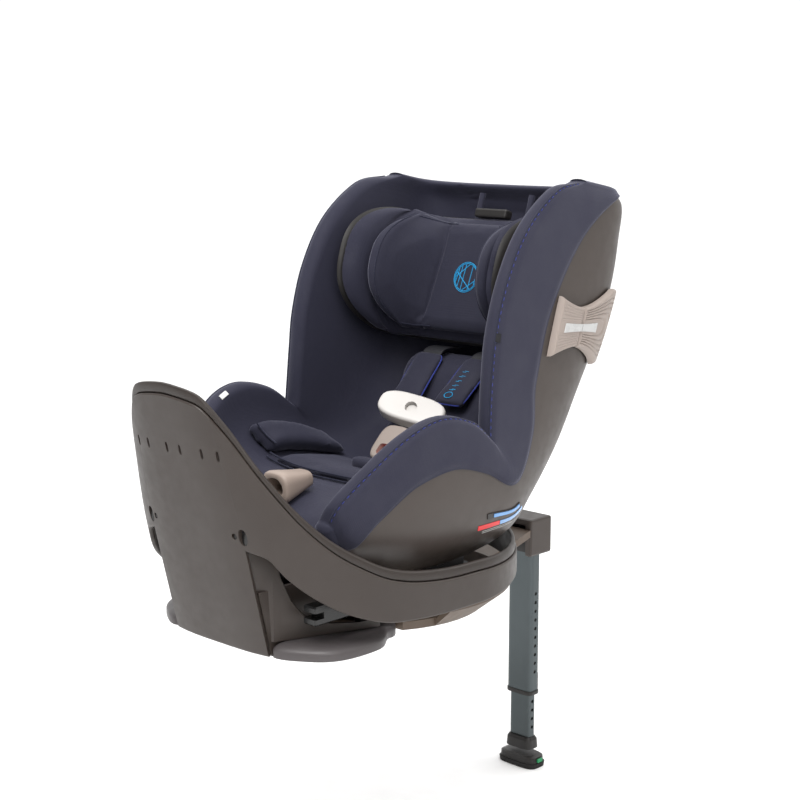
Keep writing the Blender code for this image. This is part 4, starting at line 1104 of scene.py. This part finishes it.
def chest_clip():
    """The white clip: a domed body, a raised rib, two belt slots and its round button."""
    body = stack("clip_body", soft_edge(-.0085, .0170, .0535, .0240, .0050, 2.9, 6), WHITE, None,
                 CLIP_TURN, CLIP_AT, 72)
    well = stack("cut", [(.0018, .0093, .0093, 2), (.020, .0093, .0093, 2)], WHITE, None,
                 CLIP_TURN, CLIP_AT, 40)
    cuts = [well]
    for x in (-.034, .034):
        cuts.append(stack("cut", [(.0055, .0080, .0035, 4), (.012, .0080, .0035, 4)], WHITE, None,
                          CLIP_TURN, clip_spot(x, .0150, 0), 24))
    cut_all(body, cuts)
    shaded(body, 40)
    stands_for(body, "seat", "chest_clip")
    collar = [clip_spot(.0102 * math.cos(a), .0102 * math.sin(a), .0086) for a in circle(40)]
    tube("clip_button_ring", collar, .0006, PALE_GREY, "seat", 8, closed=True)
    for k, x in enumerate((.024, .028, .032, .036)):
        a, b = (clip_spot(x, y, .0088 - .0006 * k) for y in (-.004, .005))
        tube(f"clip_grip_{k}", [a, a.lerp(b, .5), b], .0007, CYAN_THREAD, "seat", 6)
    stack("clip_lid", soft_edge(.0070, .0034, .0150, .0165, .0012, 3.2, 4), PALE_GREY, "seat",
          CLIP_TURN, clip_spot(.032, .001, 0), 40)


def buckle():
    body = stack("buckle_case", soft_edge(-.009, .018, .0255, .0315, .0045, 3.6, 6), BEIGE, None,
                 BUCKLE_TURN, BUCKLE_AT, 56)
    well = stack("cut", [(.002, .0114, .0094, 4), (.02, .0114, .0094, 4)], TAUPE, None, BUCKLE_TURN,
                 BUCKLE_AT - BUCKLE_TURN.col[1].to_3d() * .014, 32)
    cut_all(body, [well])
    shaded(body, 40)
    stands_for(body, "seat", "buckle_body")


# ------------------------------------------------------------------ side protector and window
def protector_point(side, t, place, stand):
    spread = abs(t - SPLIT) / (SPLIT - 0.12)
    v = (10.17 + place * (0.38 + 0.32 * min(spread * 1.25, 1) ** 1.6)) / LAST
    return seat_point(side * u_at(t, v), v, side=-stand, back=-stand)


def protector(name, side, first, last, clear, body, cad, ridges):
    """Half of the beige bow tie, with rounded edges and fine moulded ridges."""
    def height(t, place):
        mid_t, half_t = (first + last) / 2, abs(last - first) / 2
        d = min((half_t - abs(t - mid_t)) * 0.20, (1 - abs(place)) * 0.020)
        ease = math.sqrt(max(1 - (1 - min(d / .0022, 1)) ** 2, 0))
        stand = clear + .0006 + (.0095 - clear - .0006) * ease
        reach = (abs((t - .42) / .16) ** 3 + abs(place / .26) ** 3) ** (1 / 3)
        if reach > 1.15 and d > .0030:
            stand -= ridges * (0.5 - 0.5 * math.cos(2 * math.pi * (reach - 1.15) / .42)) ** 3
        return stand

    ts, places = steps(first, last, 110), steps(-1, 1, 150)
    grids = [[[protector_point(side, t, p, height(t, p)) for t in ts] for p in places],
             [[protector_point(side, t, p, clear) for t in ts] for p in places]]
    piece = from_grids(name, *grids, BEIGE, body, shade=50)
    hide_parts(cad)


def protector_insert(name, side, first, last, body):
    ts, places = steps(first, last, 24), steps(-.20, .16, 10)
    grids = [[[protector_point(side, t, p, s) for t in ts] for p in places]
             for s in (.0104, .0080)]
    from_grids(name, *grids, INSERT, body, shade=50)


def protectors():
    for side, word in SIDES:
        protector(f"protector_front_{word}", side, SPLIT + .003, .610, .0006, "seat",
                  f"side_protector_{word}", .0007)
        protector(f"protector_rear_{word}", side, .13, SPLIT - .003, .0025, f"protector_{word}",
                  f"protector_flap_{word}", .0016)
        protector_insert(f"insert_front_{word}", side, SPLIT + .004, .56, "seat")
        protector_insert(f"insert_rear_{word}", side, .29, SPLIT - .004, f"protector_{word}")


def flank_patch(name, t0, t1, v0, v1, low, high, look):
    """A thin curved patch on the left flank, between shares t and section places v."""
    grids = [[[seat_point(u_at(t, v / LAST), v / LAST, side=-s, back=-s)
               for t in steps(t0, t1, 8)] for v in steps(v0, v1, 30)] for s in (high, low)]
    return from_grids(name, *grids, look, "seat", shade=50)


def recline_marks():
    window = flank_patch("recline_slot", .386, .424, 4.85, 6.22, .0002, .0012, DARK)
    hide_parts("recline_window")
    flank_patch("recline_glass", .393, .417, 5.05, 6.16, .0011, .0020, WINDOW)
    flank_patch("recline_mark_red", .318, .350, 4.60, 5.30, .0002, .0006, RED)
    flank_patch("recline_mark_blue", .318, .350, 5.32, 6.35, .0002, .0006, WINDOW)
    for k, t in enumerate((.288, .300)):
        flank_patch(f"recline_rule_{k}", t, t + .004, 4.75, 6 - .2 * k, .0002, .0005, PALE_GREY)


# ------------------------------------------------------------------ handle, foot plates, leg
def recline_handle():
    """The pull loop, with a softened oval hole right through it."""
    at = Vector((0, -.166, .202))
    facing = turned(6) @ turned(90)
    outline = ((-.0300, .0165, .0105, 3), (-.0295, .0180, .0120, 3), (-.018, .0198, .0140, 3),
               (-.0050, .0220, .0170, 3), (.0100, .0242, .0208, 3), (.0215, .0258, .0233, 3),
               (.0252, .0256, .0228, 3), (.0278, .0244, .0216, 3), (.0290, .0225, .0198, 3))
    loop = stack("pull_handle", outline, TAUPE, None, facing, at, 72)
    hole = stack("cut", [(-.05, .0100, .0060, 2.3), (.05, .0190, .0165, 2.3)], TAUPE, None, facing,
                 at, 48)
    cut_all(loop, [hole])
    bevel = loop.modifiers.new("bevel", "BEVEL")
    bevel.width = .0012
    bevel.segments = 2
    bevel.limit_method = "ANGLE"
    bevel.angle_limit = math.radians(50)
    applied(loop)
    shaded(loop, 50)
    stands_for(loop, "recline_release", "recline_handle")


FOOT_PLATE = ((.097, -.288), (.150, -.271), (.178, -.234), (.181, -.170), (.159, -.132),
              (.154, -.112), (.128, -.089))


def smooth_ring(points, per):
    """A closed Catmull-Rom outline through points."""
    n = len(points)
    return [catmull_rom([points[(i + j) % n] for j in (-1, 0, 1, 2)], k / per)
            for i in range(n) for k in range(per)]


def foot_plates():
    for side, word in SIDES:
        inner = ((.0975, -.089), (.0975, -.190))
        ring = smooth_ring([*FOOT_PLATE, *inner], 8)
        middle = Vector((.130, -.185))
        loops = []
        for z, shrink in ((.0002, .0016), (.0010, 0), (.0100, 0), (.0130, .0016), (.0155, .0050),
                          (.0175, .0110), (.0187, .0200)):
            loop = []
            for x, y in ring:
                away = Vector((x, y)) - middle
                p = middle + away * max(1 - shrink / max(away.length, .02), .2)
                loop.append(Vector((side * max(p.x, .0956), p.y, z)))
            loops.append(loop)
        plate = loft(f"foot_plate_{word}", loops, FOOT, "base", 50)
        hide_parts(f"side_foot_{word}")


def leg_parts():
    """Dark discs on the leg, painted shade where its holes are, and rings round the clamp's rim."""
    # each hole is a thin dark disc on the tube: painted shade for the inside of the hole
    for k in range(10):
        z = -.070 - .015 * k
        stack(f"leg_hole_painted_shade_{k}", [(-.0010, .0029, .0029, 2), (-.0004, .0029, .0029, 2)], DARK, "leg",
              turned(90, "Y"), (.0236, .36, z), 20)
    band_points = rounded(.0262, .0142, 5, 64)
    for z0, z1, name in ((-.2448, -.2380, "leg_collar"), (.0010, .0180, "leg_top_collar")):
        loops = [[Vector((a * s, .36 + b * s, z)) for a, b in band_points]
                 for z, s in ((z0, .985), (z0 + .001, 1.0), (z1 - .001, 1.0), (z1, .985))]
        loft(name, loops, DARK, "leg", 40)


# ------------------------------------------------------------------ looks of the carried nodes
KEPT = {
    "base_housing": SKIN_PAINTED_SHADE, "base_floor": PAN, "leg_housing": SHELL, "leg_pivot_pin": STEEL,
    "latch_guide_left": DARK, "latch_guide_right": DARK, "panel_screw_left": DARK,
    "panel_screw_right": DARK, "turntable_track": STEEL, "turntable_hub": STEEL,
    "turntable_disc": DARK, "latch_arm_left": GLOSS, "latch_arm_right": GLOSS,
    "latch_indicator_left": RED, "latch_indicator_right": RED, "latch_button_left": GLOSS,
    "latch_button_right": GLOSS, "leg_outer_tube": ALUMINIUM, "leg_inner_tube": ALUMINIUM,
    "leg_clamp": DARK, "leg_button": FOOT, "foot_stem": DARK, "foot_shoe": DARK,
    "foot_sole": RUBBER, "foot_indicator": GREEN, "headrest_rails": NAVY,
    "headrest_carrier": DARK, "headrest_adjuster": DARK, "chest_clip_button": WHITE,
    "buckle_button": RED, "buckle_tongue": PALE_GREY,
}


def dress_nodes():
    for name, look in KEPT.items():
        mesh = nodes[name].data
        mesh.materials.clear()
        mesh.materials.append(look)


# ------------------------------------------------------------------ studio
def surround(tree):
    """A white room that is dim towards the front and bright overhead."""
    place = tree.nodes.new("ShaderNodeTexCoord").outputs["Generated"]
    parts = []
    for way, low, high, gain in (((-.69, .72, 0), .05, .70, .72), ((0, 0, 1), .35, .90, 1.25)):
        dot = added(tree, "ShaderNodeVectorMath", {1: way}, {0: place})
        dot.operation = "DOT_PRODUCT"
        values = {"From Min": low, "From Max": high, "To Min": 0, "To Max": gain}
        ramp = added(tree, "ShaderNodeMapRange", values, {"Value": dot.outputs["Value"]})
        ramp.interpolation_type = "SMOOTHSTEP"
        parts.append(ramp.outputs["Result"])
    both = added(tree, "ShaderNodeMath", {}, dict(enumerate(parts)))
    total = added(tree, "ShaderNodeMath", {1: 0.34}, {0: both.outputs["Value"]})
    tree.links.new(total.outputs["Value"], tree.nodes["Background"].inputs["Strength"])
    tree.nodes["Background"].inputs["Color"].default_value = (1, 1, 1, 1)


def studio():
    camera = placed("camera", bpy.data.cameras.new("camera"))
    target = Vector((0, .06, .291))
    azimuth, elevation, distance = math.radians(43.5), math.radians(10.04), 2.437
    ahead = Vector((-math.sin(azimuth) * math.cos(elevation),
                    math.cos(azimuth) * math.cos(elevation), -math.sin(elevation)))
    camera.location = target - ahead * distance
    camera.rotation_euler = ahead.to_track_quat("-Z", "Y").to_euler()
    camera.data.lens = 73.4
    camera.data.sensor_width = 36
    camera.data.clip_end = 60
    scene.camera = camera

    world = bpy.data.worlds.new("studio")
    world.use_nodes = True
    surround(world.node_tree)
    scene.world = world
    scene.view_settings.view_transform = "Standard"

    bm = bmesh.new()
    bmesh.ops.create_grid(bm, x_segments=2, y_segments=2, size=30)
    mesh = bpy.data.meshes.new("floor")
    bm.to_mesh(mesh)
    bm.free()
    mesh.materials.append(FLOOR_LOOK)
    floor = placed("floor", mesh)
    floor.location = (0, 0, FLOOR_Z)

    lights = (("key", (2.7, -1.5, 1.7), 1.8, 30, (1, .985, .97)),
              ("front", (0.9, -1.7, 3.0), 1.8, 95, (1, .99, .98)),
              ("rim", (1.6, 2.6, 1.8), 1.8, 18, (1, .98, .95)))
    for name, place, size, power, colour in lights:
        data = bpy.data.lights.new(name, "AREA")
        data.shape = "DISK"
        data.size = size
        data.energy = power
        data.color = colour
        lamp = placed(name, data)
        lamp.location = place
        ahead = Vector((0, .05, .2)) - Vector(place)
        lamp.rotation_euler = ahead.to_track_quat("-Z", "Y").to_euler()


# ------------------------------------------------------------------ making
studio()
collar_skin()
collar_lip()
foot_plates()
shell_skin()
upholstery()
rim_piping()
inlays()
headrest()
straps()
chest_clip()
buckle()
protectors()
tags()
corner_filler()
inlay_cords()
recline_marks()
recline_handle()
leg_parts()
dress_nodes()

bpy.context.view_layer.update()
